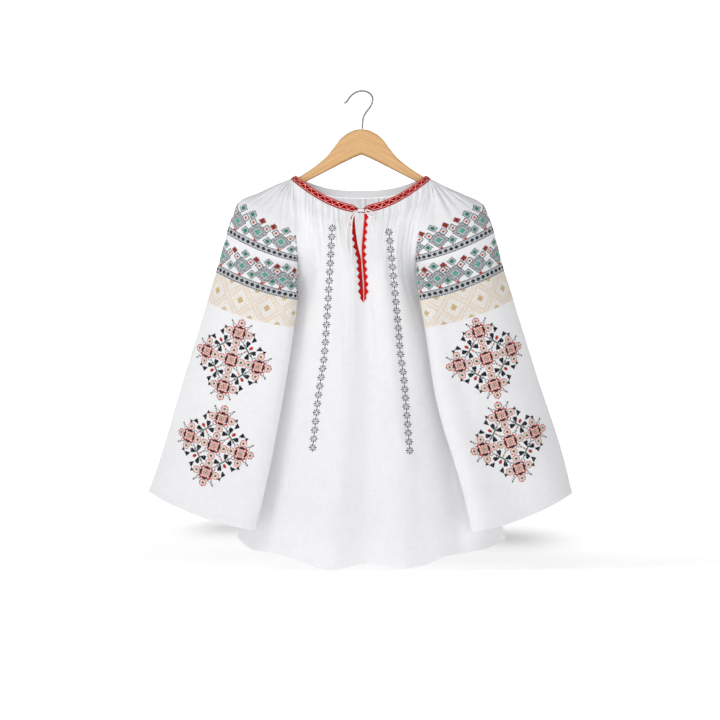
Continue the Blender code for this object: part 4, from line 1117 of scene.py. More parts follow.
def ringed_square(chart, u, v, middle_u, middle_v):
    """Small grey square with a white ring and a red middle."""
    reach = diamond_reach(u, v, middle_u, middle_v)
    fine = checker(u, v)
    lay(chart, reach < 8.2, "grey")
    lay(chart, (reach < 8.2) & (reach > 6.9) & fine, "charcoal")
    lay(chart, reach < 5.4, "white")
    lay(chart, reach < 3.4, "pink")
    lay(chart, reach < 2.5, "red")


def green_square(chart, u, v, middle_u, middle_v):
    """Small square with a dotted dark edge, a pale ring and a green middle."""
    reach = diamond_reach(u, v, middle_u, middle_v)
    fine = checker(u, v)
    lay(chart, reach < 8.4, "grey")
    lay(chart, (reach < 8.4) & (reach > 7.0) & fine, "charcoal")
    lay(chart, (reach < 6.4) & (reach > 4.6), "light_grey")
    lay(chart, reach < 4.7, "teal")
    lay(chart, reach < 2.5, "green")


def red_square(chart, u, v, middle_u, middle_v):
    """Small red square with a dark dotted edge."""
    reach = diamond_reach(u, v, middle_u, middle_v)
    lay(chart, reach < 6.4, "salmon")
    lay(chart, (reach < 6.6) & checker(u, v), "charcoal")
    lay(chart, reach < 4.7, "dull_red")
    lay(chart, reach < 1.4, "charcoal")


def diamond_zone(chart, u, v, foot_v, middles, swapped):
    """A row of big diamonds standing on a dark band, with their small squares."""
    middle_v = foot_v - DIAMOND_HALF - 0.6
    for index, middle_u in enumerate(middles):
        before = middles[index - 1] if index else middle_u - 42.0
        between = (middle_u + before) / 2
        top_v = middle_v - 23.0
        side_v = middle_v - 20.5
        green_square(chart, u, v, between, middle_v + 7.6)
        if index in swapped:
            red_square(chart, u, v, middle_u, top_v + 2.0)
            green_square(chart, u, v, between, side_v - 2.0)
        else:
            green_square(chart, u, v, middle_u, top_v)
            red_square(chart, u, v, between, side_v)
        for toward in (-1.0, 1.0):
            ringed_square(chart, u, v, middle_u + toward * 12.6, middle_v - 11.6)
        big_diamond(chart, u, v, middle_u, middle_v)


def dark_band(chart, u, v, top_v):
    """The small repeat of charcoal and greys, twelve stitches deep, read from its chart."""
    rows = np.floor((v - top_v) / STITCH).astype(int)
    columns = np.floor(u / STITCH).astype(int) % len(DARK_BAND_CHART[0])
    codes = np.array([[code(CHART_LETTERS[letter]) for letter in line] for line in DARK_BAND_CHART])
    inside = (rows >= 0) & (rows < len(DARK_BAND_CHART))
    chart[inside] = codes[rows[inside], columns[inside]]


def gold_band(chart, u, v):
    """Concentric cream and tan diamonds with a four-petalled gold flower in each middle."""
    inside = (v > GOLD_TOP) & (v < GOLD_TOP + GOLD_DEPTH)
    along = np.mod(u - GOLD_PHASE + GOLD_PITCH / 2, GOLD_PITCH) - GOLD_PITCH / 2
    down = v - (GOLD_TOP + GOLD_DEPTH / 2)
    stretch = GOLD_PITCH / GOLD_DEPTH
    reach = np.abs(along) + np.abs(down) * stretch
    beside = (GOLD_PITCH / 2 - np.abs(along)) + (GOLD_DEPTH / 2 - np.abs(down)) * stretch
    near = np.minimum(reach, beside)
    lay(chart, inside, "cream")
    lay(chart, inside & (near > 8.0) & (near < 10.8), "white")
    lay(chart, inside & (near > 13.2) & (near < 15.2), "white")
    lay(chart, inside & (near > 17.0), "beige")
    for line in (7.2, 11.6, 16.4, 20.2):
        lay(chart, inside & (np.abs(near - line) < 0.54), "tan")
    for across, deep in ((along, down), (GOLD_PITCH / 2 - np.abs(along), GOLD_DEPTH / 2 - np.abs(down))):
        for petal_u, petal_v in ((2.7, 0.0), (-2.7, 0.0), (0.0, 2.7), (0.0, -2.7)):
            lay(chart, inside & (np.hypot(across - petal_u, deep - petal_v) < 2.4), "gold")


def out_and_side(u, v, middle_u, middle_v, out_u, out_v):
    """How far the cells lie from a middle along a direction, and to the side of it."""
    du = u - middle_u
    dv = v - middle_v
    return du * out_u + dv * out_v, -du * out_v + dv * out_u


def rosette(chart, u, v, middle_u, middle_v):
    """Round medallion with four black arcs, four petals, and four buds on its diagonals."""
    reach = np.hypot(u - middle_u, v - middle_v)
    turn = np.degrees(np.arctan2(v - middle_v, u - middle_u))
    at_petal = np.abs(np.mod(turn + 45.0, 90.0) - 45.0) < 33.0
    for quarter in range(4):
        angle = math.radians(45.0 + 90.0 * quarter)
        along, side = out_and_side(u, v, middle_u, middle_v, math.cos(angle), math.sin(angle))
        bud = np.hypot(along - BUD_REACH, side)
        lay(chart, bud < 3.9, "grey")
        lay(chart, (bud < 3.9) & (along < BUD_REACH), "red")
        lay(chart, bud < 2.6, "white")
        lay(chart, (bud < 2.6) & (along < 13.0), "salmon")
        petal_u = middle_u + PETAL_REACH * math.cos(angle - math.pi / 4)
        petal_v = middle_v + PETAL_REACH * math.sin(angle - math.pi / 4)
        petal = np.hypot(u - petal_u, v - petal_v)
        spin = np.arctan2(v - petal_v, u - petal_u)
        edge = PETAL_RADIUS + 0.5 * np.cos(8 * spin)
        lay(chart, petal < edge, "red")
        lay(chart, petal < edge - 1.2, "cream")
        lay(chart, petal < 4.0, "pink")
        lay(chart, petal < 1.9, "green")
    lay(chart, (reach < 10.8) & (reach > 7.6) & at_petal, "black")
    lay(chart, (reach < 7.6) & (reach > 6.4), "salmon")
    lay(chart, reach < 6.4, "pink")
    lay(chart, (reach < 4.8) & (reach > 2.2) & checker(u, v), "dull_red")
    lay(chart, reach < 1.6, "green")


def ticked_stem(chart, along, side, start, end):
    """A dark stem with a short tick across it."""
    middle = (start + end) / 2
    lay(chart, (along > start) & (along < end) & (np.abs(side) < 0.60), "dark_grey")
    lay(chart, (np.abs(along - middle) < 0.60) & (np.abs(side) < 2.2), "dark_grey")


def leaf_cross(chart, u, v, middle_u, middle_v, out_u, out_v):
    """Four black leaves round a green bar, a red drop outward, and two loose leaves beyond it."""
    out, side = out_and_side(u, v, middle_u, middle_v, out_u, out_v)
    for toward_side in (-1.0, 1.0):
        ticked_stem(chart, side * toward_side, out, 4.5, 15.5)
        for toward_out in (-1.0, 1.0):
            from_bar_out = out * toward_out - 0.8
            from_bar_side = side * toward_side - 4.6
            along = from_bar_out * 0.77 + from_bar_side * 0.64
            across = np.abs(from_bar_side * 0.77 - from_bar_out * 0.64)
            leaf = (along > 0.6) & (along < 10.8) & (across < 0.40 * along + 0.6) & (across < 3.5)
            lay(chart, leaf, "black")
        loose_out = out - 12.8
        loose_side = np.abs(side * toward_side - 8.0 - 0.2 * loose_out)
        loose = (loose_out > 0.0) & (loose_out < 8.0) & (loose_side < 0.46 * loose_out + 0.7)
        lay(chart, loose, "black")
    ticked_stem(chart, -out, side, 7.6, 14.0)
    lay(chart, (np.abs(side) < 1.3) & (out > -7.6) & (out < -2.2), "salmon")
    lay(chart, (np.abs(out) < 0.95) & (np.abs(side) < 5.2), "green")
    lay(chart, (np.hypot((out - 6.8) * 0.66, side) < 2.5) & (out > 2.6), "red")


def outer_sprays(chart, u, v, middle_u, middle_v, out_u, out_v):
    """Stems with black tips and small leaves round the outer side of a cluster's end rosette."""
    out, side = out_and_side(u, v, middle_u, middle_v, out_u, out_v)
    for toward in (-1.0, 1.0):
        along = (out + side * toward) / math.sqrt(2)
        across = (out - side * toward) / math.sqrt(2)
        ticked_stem(chart, along, across, 16.6, 22.4)
        lay(chart, np.hypot((along - 23.4) * 0.6, across) < 1.3, "black")
        leaf_out = out - 3.4
        leaf_side = side * toward - 21.2
        leaf = (leaf_side > 0) & (leaf_side < 5.4) & (np.abs(leaf_out) < 0.55 * leaf_side + 0.6)
        lay(chart, leaf, "black")


def flower_cluster(chart, u, v, middle_u, middle_v):
    """Five rosettes set as a cross, with a leaf cross in each of its four corners."""
    near = (np.abs(u - middle_u) < CLUSTER_REACH) & (np.abs(v - middle_v) < CLUSTER_REACH)
    part = np.zeros_like(chart)
    arm = CLUSTER_ARM
    for quarter in range(4):
        angle = math.radians(45.0 + 90.0 * quarter)
        out_u, out_v = math.cos(angle), math.sin(angle)
        cross_u, cross_v = middle_u + CROSS_REACH * out_u, middle_v + CROSS_REACH * out_v
        leaf_cross(part, u, v, cross_u, cross_v, out_u, out_v)
    steps = ((0, 0), (1, 0), (-1, 0), (0, 1), (0, -1))
    for step_u, step_v in steps[1:]:
        outer_sprays(part, u, v, middle_u + arm * step_u, middle_v + arm * step_v, step_u, step_v)
    for step_u, step_v in steps:
        rosette(part, u, v, middle_u + arm * step_u, middle_v + arm * step_v)
    use = near & (part > 0)
    chart[use] = part[use]


def place_on_chart(corners, u_values, v_values, x, z):
    """Flat place whose point on the front of the sleeve is nearest to the given x and z."""
    away = np.hypot(corners[..., 0] - x, corners[..., 2] - z)
    away = np.where(u_values[None, :] > 0, away, 1e6)
    row, column = np.unravel_index(np.argmin(away), away.shape)
    return u_values[column], v_values[row]


def embroider_sleeve(side, cloth, surface):
    """Bands all round the sleeve and flower clusters on its front, in two stitched pieces."""
    u_corners = np.arange(-CHART_REACH, CHART_REACH, STITCH)
    v_corners = np.arange(CHART_TOP, CHART_BOTTOM, STITCH)
    zero_row = BAND_ONE_SHARE * UPPER_ROWS
    # u grows towards the front seam, so the lengths across are turned round
    corners, facing, inside = chart_corners(cloth, zero_row, v_corners, -u_corners[::-1])
    corners, facing, inside = corners[:, ::-1], facing[:, ::-1], inside[:, ::-1]
    u = (u_corners[:-1] + STITCH / 2)[None, :] * np.ones((len(v_corners) - 1, 1))
    v = (v_corners[:-1] + STITCH / 2)[:, None] * np.ones((1, len(u_corners) - 1))
    whole = inside[:-1, :-1] & inside[1:, :-1] & inside[:-1, 1:] & inside[1:, 1:]
    chart = np.zeros(u.shape, dtype=int)
    diamond_zone(chart, u, v, 0.0, DIAMOND_ROWS["upper"], (6,))
    keep = chart.copy()
    chart[:] = 0
    diamond_zone(chart, u, v, BAND_TWO_TOP, DIAMOND_ROWS["lower"], ())
    chart[v < 0] = keep[v < 0]
    dark_band(chart, u, v, 0.0)
    dark_band(chart, u, v, BAND_TWO_TOP)
    gold_band(chart, u, v)
    chart[~whole] = 0
    bands = stitch_pads("sleeve_bands_" + side, corners, facing, chart, surface, 31)
    chart = np.zeros(u.shape, dtype=int)
    for x, z in CLUSTERS[side]:
        middle_u, middle_v = place_on_chart(corners, u_corners, v_corners, x, z)
        flower_cluster(chart, u, v, middle_u, middle_v)
    chart[~whole] = 0
    flowers = stitch_pads("sleeve_flowers_" + side, corners, facing, chart, surface, 32)
    return bands, flowers


def surface_tree(cloth):
    """Outer surface of a cloth piece, ready for rays."""
    outer = cloth.points + cloth.normals * cloth.wall[:, None] / 2
    return BVHTree.FromPolygons(outer.tolist(), cloth.quads.tolist())


def cast_front(tree, x, z, toward=0.0):
    """The front's points and normals straight behind the given x and z, found by rays along +Y."""
    places = np.zeros(x.shape + (3,))
    normals = np.zeros(x.shape + (3,))
    for index in np.ndindex(x.shape):
        across = float(x[index])
        hit = (None, None)
        while hit[0] is None:
            hit = tree.ray_cast(Vector((across, -200.0, float(z[index]))), Vector((0.0, 1.0, 0.0)))
            across += 0.2 * toward if toward else 0.05
        places[index] = hit[0]
        normals[index] = -np.array(hit[1]) if hit[1].y > 0 else hit[1]
    return places, normals


def star_chart(size):
    """Eight-spoked star: upright and slanted spokes that are widest near their outer ends."""
    at = (np.arange(size) - (size - 1) / 2) * STAR_STITCH
    u, v = np.meshgrid(at, at)
    reach = np.hypot(u, v)
    turn = np.mod(np.arctan2(v, u), math.pi / 4)
    off = reach * np.sin(np.minimum(turn, math.pi / 4 - turn))
    share = np.clip(reach / STAR_RADIUS, 0, 1)
    swell = 0.30 + 0.92 * share * np.sin(np.pi * share ** 2)
    spoke = (off < swell) & (reach < STAR_RADIUS) & (reach > STAR_HOLLOW)
    return np.where(spoke, code("star_grey"), 0)


def star_column(side, tree, surface):
    """A column of stars joined by short ticks, each laid on the front where it hangs."""
    route = STAR_COLUMNS[side]
    top, low = route["z"][0], route["z"][-1]
    size = STAR_CELLS
    corner_grids, facing_grids, labels = [], [], []
    keys = np.array(route["z"])[::-1]
    values = np.array(route["x"])[::-1]
    pitch = (low - top) / (STAR_COUNT - 1)
    chart = np.zeros((size + 2, size), dtype=int)
    chart[:size] = star_chart(size)
    chart[size:, size // 2] = code("star_grey")
    at_u = (np.arange(size + 1) - size / 2) * STAR_STITCH
    at_v = (np.arange(size + 3) - size / 2) * STAR_STITCH
    for star in range(STAR_COUNT):
        middle_z = top + pitch * star
        here = float(smooth(keys, values, middle_z))
        ahead = float(smooth(keys, values, middle_z - 5.0))
        slope = (ahead - here) / 5.0
        u, v = np.meshgrid(at_u, at_v)
        x = here + u + v * slope
        z = middle_z - v
        places, normals = cast_front(tree, x, z)
        corner_grids.append(places + normals * STITCH_LIFT)
        facing_grids.append(normals)
        part = chart.copy()
        if star == STAR_COUNT - 1:
            part[size:] = 0
        labels.append(np.pad(part, ((0, 1), (0, 0))))
    corners = np.concatenate(corner_grids, axis=0)
    facing = np.concatenate(facing_grids, axis=0)
    chart = np.concatenate(labels, axis=0)[:-1]
    return stitch_pads("star_column_" + side, corners, facing, chart, surface, 41)


# Neckband, trim, tie

def band_angles(columns):
    """Angles and sides round the neck from one front end to the other."""
    half_gap = math.degrees(BAND_END_GAP / 2 / NECK_HALF_WIDTH)
    turn = np.linspace(half_gap, 360.0 - half_gap, columns + 1)
    behind = (turn > 90.0) & (turn < 270.0)
    angle = np.where(behind, 180.0 - turn, np.where(turn >= 270.0, turn - 360.0, turn))
    return angle, np.where(behind, 1.0, -1.0)


def band_cloth():
    """The neckband as a fine sheet, straight from its lower to its upper edge."""
    angle, side_y = band_angles(BAND_COLUMNS)
    low = neck_ring(angle, side_y)
    high = band_top(angle, side_y)
    grid = np.array([mix(high, low, i / BAND_ROWS) for i in range(BAND_ROWS + 1)])
    cloth = grid_cloth(grid, np.zeros_like)
    outward = cloth.points - cloth.points.mean(axis=0)
    if (cloth.normals * outward).sum() < 0:
        cloth = grid_cloth(grid, np.zeros_like, True)
    cloth.wall[:] = BAND_WALL
    return cloth


def band_labels(u, rows):
    """Neckband pattern: dark edges, pale lines, and dark triangles parted by a pale zigzag."""
    labels = np.zeros((rows, len(u)), dtype=int)
    phase = np.mod(u, BAND_PITCH) / BAND_PITCH
    zigzag = 1.0 - np.abs(2 * phase - 1.0)
    for row in range(rows):
        edge = min(row, rows - 1 - row)
        if edge < BAND_EDGE_ROWS:
            labels[row] = code(("band_dark" if row else "band_red", "band_red", "band_pink")[edge])
            continue
        share = (row - BAND_EDGE_ROWS) / (rows - 2.0 * BAND_EDGE_ROWS - 1.0)
        off = np.abs(share - zigzag)
        inner = np.where(off < BAND_BRIGHT, code("band_red"), code("band_dark"))
        labels[row] = np.where(off < BAND_PALE, code("band_pink"), inner)
    return labels


def embroider_band(cloth, surface):
    """Counted stitches all over the neckband's outside."""
    ids = cloth.ids[0]
    across = cloth.flat[ids][..., 0]
    length = across[0, -1]
    columns = int(length / BAND_STITCH)
    rows = BAND_STITCH_ROWS
    outer = (cloth.points + cloth.normals * (cloth.wall[:, None] / 2 + BAND_STITCH_LIFT))[ids]
    normals = cloth.normals[ids]
    u = np.linspace(BAND_STITCH_INSET, length - BAND_STITCH_INSET, columns + 1)
    corners = np.zeros((rows + 1, columns + 1, 3))
    facing = np.zeros_like(corners)
    for j in range(rows + 1):
        row = j / rows * (len(ids) - 1)
        lengths, line, line_normals = between_rows(row, across, outer, normals)
        lengths = lengths * length / lengths[-1]
        for axis in range(3):
            corners[j, :, axis] = np.interp(u, lengths, line[:, axis])
            facing[j, :, axis] = np.interp(u, lengths, line_normals[:, axis])
    labels = band_labels((u[:-1] + u[1:]) / 2, rows)
    return stitch_pads("neckband_stitches", corners, unit(facing), labels, surface, 51)


def trim_cloth(half, tree):
    """A braid along one slit edge, its outer edge a row of rounded teeth."""
    toward = -1.0 if half == "left" else 1.0
    heights = np.linspace(TRIM_TOP_Z, TRIM_END_Z, TRIM_ROWS + 1)
    inner = middle_x(np.maximum(heights, SLIT_END_Z + 0.01), half) + toward * TRIM_SET_BACK
    phase = np.mod((TRIM_TOP_Z - heights) / TRIM_PITCH, 1.0)
    tooth = TRIM_TOOTH * (1 - np.abs(2 * phase - 1.0)) ** 1.1
    closing = np.clip((heights - TRIM_END_Z) / 12.0, 0.10, 1.0) ** 0.8
    outer = inner + toward * (TRIM_BASE + tooth) * closing
    shares = np.linspace(0.0, 1.0, TRIM_COLUMNS)
    x = inner[:, None] + (outer - inner)[:, None] * shares[None, :]
    z = np.broadcast_to(heights[:, None], x.shape)
    grid, normals = cast_front(tree, x, z, toward)
    ids = grid_numbers(grid)
    facing = unit(normals.reshape(-1, 3).mean(axis=0))
    crown = (1 - (2 * shares - 1) ** 2)[None, :, None] * TRIM_CROWN
    lifted = grid + facing * (TRIM_LIFT + TRIM_WALL / 2 + crown)
    across, down = flat_lengths(grid)
    flat = np.stack([across, down], axis=-1).reshape(-1, 2)
    quads = quads_between(ids)
    cloth = Cloth(lifted.reshape(-1, 3), quads, flat)
    if cloth.normals[:, 1].mean() > 0:
        cloth = Cloth(lifted.reshape(-1, 3), quads[:, ::-1], flat)
    cloth.normals[:] = facing
    cloth.wall[:] = TRIM_WALL
    return cloth


def smooth_route(points, step):
    """Points about a step apart on a smooth curve through the route's own points."""
    points = np.array(points, dtype=float)
    lengths = np.concatenate([[0.0], np.cumsum(np.linalg.norm(np.diff(points, axis=0), axis=1))])
    count = max(int(round(lengths[-1] / step)), 4)
    at = np.linspace(0.0, lengths[-1], count + 1)
    return np.stack([smooth(lengths, points[:, axis], at) for axis in range(3)], axis=-1)


def tube_rings(route, radius_at, sides):
    """Rings round a route. radius_at gives the radius from the length along and the turn."""
    forward = unit(np.gradient(route, axis=0))
    up = np.zeros_like(route)
    start = np.array([0.0, 1.0, 0.0]) if abs(forward[0, 1]) < 0.9 else np.array([1.0, 0.0, 0.0])
    for i in range(len(route)):
        start = start - forward[i] * (start @ forward[i])
        start = start / np.linalg.norm(start)
        up[i] = start
    side = np.cross(forward, up)
    turns = np.linspace(0, 2 * np.pi, sides, endpoint=False)
    lengths = np.concatenate([[0.0], np.cumsum(np.linalg.norm(np.diff(route, axis=0), axis=1))])
    radius = radius_at(lengths[:, None], turns[None, :])
    ring = up[:, None] * np.cos(turns)[None, :, None] + side[:, None] * np.sin(turns)[None, :, None]
    return route[:, None] + ring * radius[..., None], lengths


def ring_mesh(name, rings, lengths, surfaces):
    """A closed skin over rings of points, its two ends drawn together."""
    rows, sides = rings.shape[:2]
    ids = grid_numbers(rings)
    quads = quads_between(np.concatenate([ids, ids[:, :1]], axis=1))
    points = np.vstack([rings.reshape(-1, 3), rings[0].mean(axis=0), rings[-1].mean(axis=0)])
    first, last = rows * sides, rows * sides + 1
    caps = [(ids[0, (i + 1) % sides], ids[0, i], first) for i in range(sides)]
    caps += [(ids[-1, i], ids[-1, (i + 1) % sides], last) for i in range(sides)]
    corner = points[quads[sides // 2]]
    normal = np.cross(corner[2] - corner[0], corner[3] - corner[1])
    outward = corner.mean(axis=0) - rings[0].mean(axis=0)
    faces = quads.tolist() + [tuple(int(i) for i in cap) for cap in caps]
    if normal @ outward > 0:
        made = make_mesh(name, points, faces, surfaces)
    else:
        made = make_mesh(name, points, [tuple(reversed(face)) for face in faces], surfaces)
    turn = np.broadcast_to(np.linspace(0, 1, sides, endpoint=False)[None, :], (rows, sides))
    along = np.broadcast_to(lengths[:, None] * MM, (rows, sides))
    flat = np.stack([turn, along], axis=-1).reshape(-1, 2)
    flat = np.vstack([flat, [[0.5, 0.0]], [[0.5, lengths[-1] * MM]]])
    add_uv(made, flat, "cloth")
    return made


def three_plies(diameter):
    """Radius of a cord of three plies: it swells three times round and turns as it runs."""
    def radius_at(length, turn):
        lobe = np.abs(np.cos(1.5 * (turn - 2 * np.pi * length / PLY_TURN)))
        return diameter / 2 * (0.84 + 0.16 * lobe)

    return radius_at


def twisted_cord(name, route, surface):
    """Cotton cord of three plies along a route, its two ends drawn in."""
    path = smooth_route(route, 0.5)
    rings, lengths = tube_rings(path, three_plies(TIE_DIAMETER), CORD_SIDES)
    for end in (0, -1):
        rings[end] = mix(rings[end], path[end], CORD_END_CLOSE)
    return ring_mesh(name, rings, lengths, [surface]), path


def tied_knot(surface):
    """The knot: one cord wound flat over itself, two turns across and one wrap over the front."""
    turns = np.linspace(0, 2 * np.pi * KNOT_WINDINGS, 150)
    swing = np.stack([np.sin(turns * 0.5 + 0.3), -np.cos(turns), np.sin(turns + 0.6)], axis=-1)
    path = np.array(KNOT_CENTRE) + np.array(KNOT_REACH) * swing
    rings, lengths = tube_rings(path, three_plies(KNOT_CORD), KNOT_SIDES)
    return ring_mesh("knot", rings, lengths, [surface])


# Hanger and hook

def hanger_sections():
    """Sections of the hanger from its left tip to its right tip: x, top, bottom, half y."""
    sections = []
    for side, toward in (("left", -1.0), ("right", 1.0)):
        reach = HANGER_REACH[side]
        rows = []
        for out, top, bottom in zip(*(HANGER_OUTLINE[key] for key in ("reach", "top", "bottom"))):
            rows.append((HANGER_CENTRE_X + toward * out, top, bottom, HANGER_THICKNESS / 2))
        for share in HANGER_HEAD_SHARES:
            ridge_x = float(smooth(SLEEVE_HEADS["share"], SLEEVE_HEADS[side + "_x"], share))
            ridge_z = float(smooth(SLEEVE_HEADS["share"], SLEEVE_HEADS[side + "_z"], share))
            if abs(ridge_x) < reach - 8.0:
                top = ridge_z - CAD_WALL / 2 - HANGER_CLEARANCE
                rows.append((ridge_x, top, top - HANGER_DEPTH, HANGER_THICKNESS / 2))
        last_x, last_top = rows[-1][0], rows[-1][1]
        slope = (rows[-1][1] - rows[-2][1]) / abs(rows[-1][0] - rows[-2][0])
        for back, shrink in ((6.0, 1.0), (2.0, 0.72), (0.0, 0.35)):
            x = toward * (reach - back)
            top = last_top + slope * abs(x - last_x)
            middle = top - HANGER_DEPTH / 2
            half_z = HANGER_DEPTH / 2 * shrink
            rows.append((x, middle + half_z, middle - half_z, HANGER_THICKNESS / 2 * shrink))
        sections.append(rows)
    return list(reversed(sections[0][1:])) + sections[1]


def carve_hanger(surface):
    """The hanger: rounded oblong rings read every few millimetres along its sections."""
    rows = np.array(hanger_sections())
    x = np.unique(np.concatenate([np.arange(rows[0, 0], rows[-1, 0], HANGER_SLICE), rows[:, 0]]))
    bottom, half_y = (np.interp(x, rows[:, 0], rows[:, k]) for k in (2, 3))
    top = smooth(rows[:, 0], rows[:, 1], x)
    bottom_smooth = smooth(rows[:, 0], rows[:, 2], x)
    near_notch = np.exp(-((x - HANGER_CENTRE_X) / NOTCH_REACH) ** 2)
    bottom = mix(bottom_smooth, bottom, near_notch)
    turns = np.linspace(0, 2 * np.pi, HANGER_SIDES, endpoint=False) + np.pi / HANGER_SIDES
    corner = np.sign(np.cos(turns)) * np.abs(np.cos(turns)) ** HANGER_CORNER_POWER
    rise = np.sign(np.sin(turns)) * np.abs(np.sin(turns)) ** HANGER_CORNER_POWER
    middle = (top + bottom) / 2
    half_z = (top - bottom) / 2
    rings = np.zeros((len(x), HANGER_SIDES, 3))
    rings[..., 0] = x[:, None]
    rings[..., 1] = half_y[:, None] * corner[None, :] * 0.99
    rings[..., 2] = middle[:, None] + half_z[:, None] * rise[None, :]
    return ring_mesh("wood_hanger", rings, x - x[0], [surface])


def bend_hook(surface):
    """The hook: round wire along its route, its free end rounded over."""
    route = [(x, 0.0, z + HOOK_SEAT_GAP) for x, z in zip(HOOK_ROUTE["x"], HOOK_ROUTE["z"])]
    path = smooth_route(route, 0.8)

    def radius_at(length, turn):
        tip = np.clip((length[-1] - length) / (HOOK_WIRE / 2), 0.0, 1.0)
        return HOOK_WIRE / 2 * np.sqrt(1 - (1 - tip) ** 2 * 0.98) + 0 * turn

    rings, lengths = tube_rings(path, radius_at, HOOK_SIDES)
    return ring_mesh("steel_hook", rings, lengths, [surface])


# Finishes

class Finish:
    """A material being made: short ways to add nodes and join them."""

    def __init__(self, name, roughness, metallic=0.0):
        self.material = bpy.data.materials.new(name)
        self.material.use_nodes = True
        self.tree = self.material.node_tree
        self.shader = self.tree.nodes["Principled BSDF"]
        self.shader.inputs["Roughness"].default_value = roughness
        self.shader.inputs["Metallic"].default_value = metallic

    def join(self, source, target):
        self.tree.links.new(source, target)

    def math(self, operation, first, second=None, clamp=False):
        node = self.tree.nodes.new("ShaderNodeMath")
        node.operation = operation
        node.use_clamp = clamp
        for socket, value in zip(node.inputs, (first, second)):
            if value is None:
                continue
            if isinstance(value, (int, float)):
                socket.default_value = value
            else:
                self.join(value, socket)
        return node.outputs[0]

    def plus(self, first, second, clamp=False):
        return self.math("ADD", first, second, clamp)

    def minus(self, first, second, clamp=False):
        return self.math("SUBTRACT", first, second, clamp)

    def times(self, first, second, clamp=False):
        return self.math("MULTIPLY", first, second, clamp)

    def noise(self, vector, scale, detail=2.0, roughness=0.5):
        node = self.tree.nodes.new("ShaderNodeTexNoise")
        node.inputs["Scale"].default_value = scale
        node.inputs["Detail"].default_value = detail
        node.inputs["Roughness"].default_value = roughness
        self.join(vector, node.inputs["Vector"])
        return node.outputs["Fac"]

    def mapped(self, vector, scale, turn=(0.0, 0.0, 0.0), shift=(0.0, 0.0, 0.0)):
        node = self.tree.nodes.new("ShaderNodeMapping")
        node.inputs["Scale"].default_value = scale
        node.inputs["Rotation"].default_value = turn
        node.inputs["Location"].default_value = shift
        self.join(vector, node.inputs["Vector"])
        return node.outputs[0]

    def uv(self, name):
        node = self.tree.nodes.new("ShaderNodeUVMap")
        node.uv_map = name
        return node.outputs[0]

    def place(self):
        return self.tree.nodes.new("ShaderNodeTexCoord").outputs["Object"]

    def split(self, vector):
        node = self.tree.nodes.new("ShaderNodeSeparateXYZ")
        self.join(vector, node.inputs[0])
        return node.outputs[0], node.outputs[1], node.outputs[2]

    def ramp(self, value, stops):
        node = self.tree.nodes.new("ShaderNodeValToRGB")
        ramp = node.color_ramp
        while len(ramp.elements) < len(stops):
            ramp.elements.new(0.5)
        for element, (at, colour) in zip(ramp.elements, stops):
            element.position = at
            element.color = tuple(colour) + (1.0,)
        self.join(value, node.inputs[0])
        return node.outputs[0]

    def tinted(self, value, stops):
        return self.ramp(value, [(at, linear_colour(colour)) for at, colour in stops])

    def blend(self, share, first, second, kind="MIX"):
        node = self.tree.nodes.new("ShaderNodeMix")
        node.data_type = "RGBA"
        node.blend_type = kind
        sockets = {s.identifier: s for s in node.inputs}
        for key, value in (("Factor_Float", share), ("A_Color", first), ("B_Color", second)):
            if isinstance(value, (int, float)):
                sockets[key].default_value = value
            elif isinstance(value, tuple):
                sockets[key].default_value = value + (1.0,)
            else:
                self.join(value, sockets[key])
        return {s.identifier: s for s in node.outputs}["Result_Color"]

    def bump(self, height, strength, distance, after=None):
        node = self.tree.nodes.new("ShaderNodeBump")
        node.inputs["Strength"].default_value = strength
        node.inputs["Distance"].default_value = distance
        self.join(height, node.inputs["Height"])
        if after is not None:
            self.join(after, node.inputs["Normal"])
        return node.outputs[0]

    def done(self, colour, normal=None):
        self.join(colour, self.shader.inputs["Base Color"])
        if normal is not None:
            self.join(normal, self.shader.inputs["Normal"])
        return self.material


def linen_finish():
    """White linen: plain weave, long slubs both ways and slight clouding.

    The weave is the product of two sines, one for each set of threads. Slubs are noise drawn out
    along the threads, and they tint the cloth as well as raise it.
    """
    finish = Finish("white_linen", 0.92)
    finish.shader.inputs["Sheen Weight"].default_value = 0.25
    finish.shader.inputs["Sheen Roughness"].default_value = 0.6
    finish.shader.inputs["Specular IOR Level"].default_value = 0.2
    uv = finish.uv("cloth")
    u, v, _ = finish.split(uv)
    thread = math.pi / THREAD_PITCH
    warp = finish.math("SINE", finish.times(u, thread))
    weft = finish.math("SINE", finish.times(v, thread))
    weave = finish.times(warp, weft)
    slub_down = finish.noise(finish.mapped(uv, (900.0, 45.0, 1.0)), 1.0, 3.0, 0.6)
    slub_across = finish.noise(finish.mapped(uv, (45.0, 900.0, 1.0)), 1.0, 3.0, 0.6)
    slubs = finish.plus(slub_down, slub_across)
    cloud = finish.noise(finish.place(), 14.0, 3.0, 0.6)
    tint = finish.plus(finish.times(slubs, 0.62), finish.times(cloud, 0.30))
    colour = finish.ramp(tint, ((0.50, (0.80, 0.80, 0.825)), (0.95, (0.90, 0.90, 0.915))))
    normal = finish.bump(weave, 0.25, 0.00015)
    normal = finish.bump(slubs, 0.35, 0.0006, normal)
    return finish.done(colour, normal)


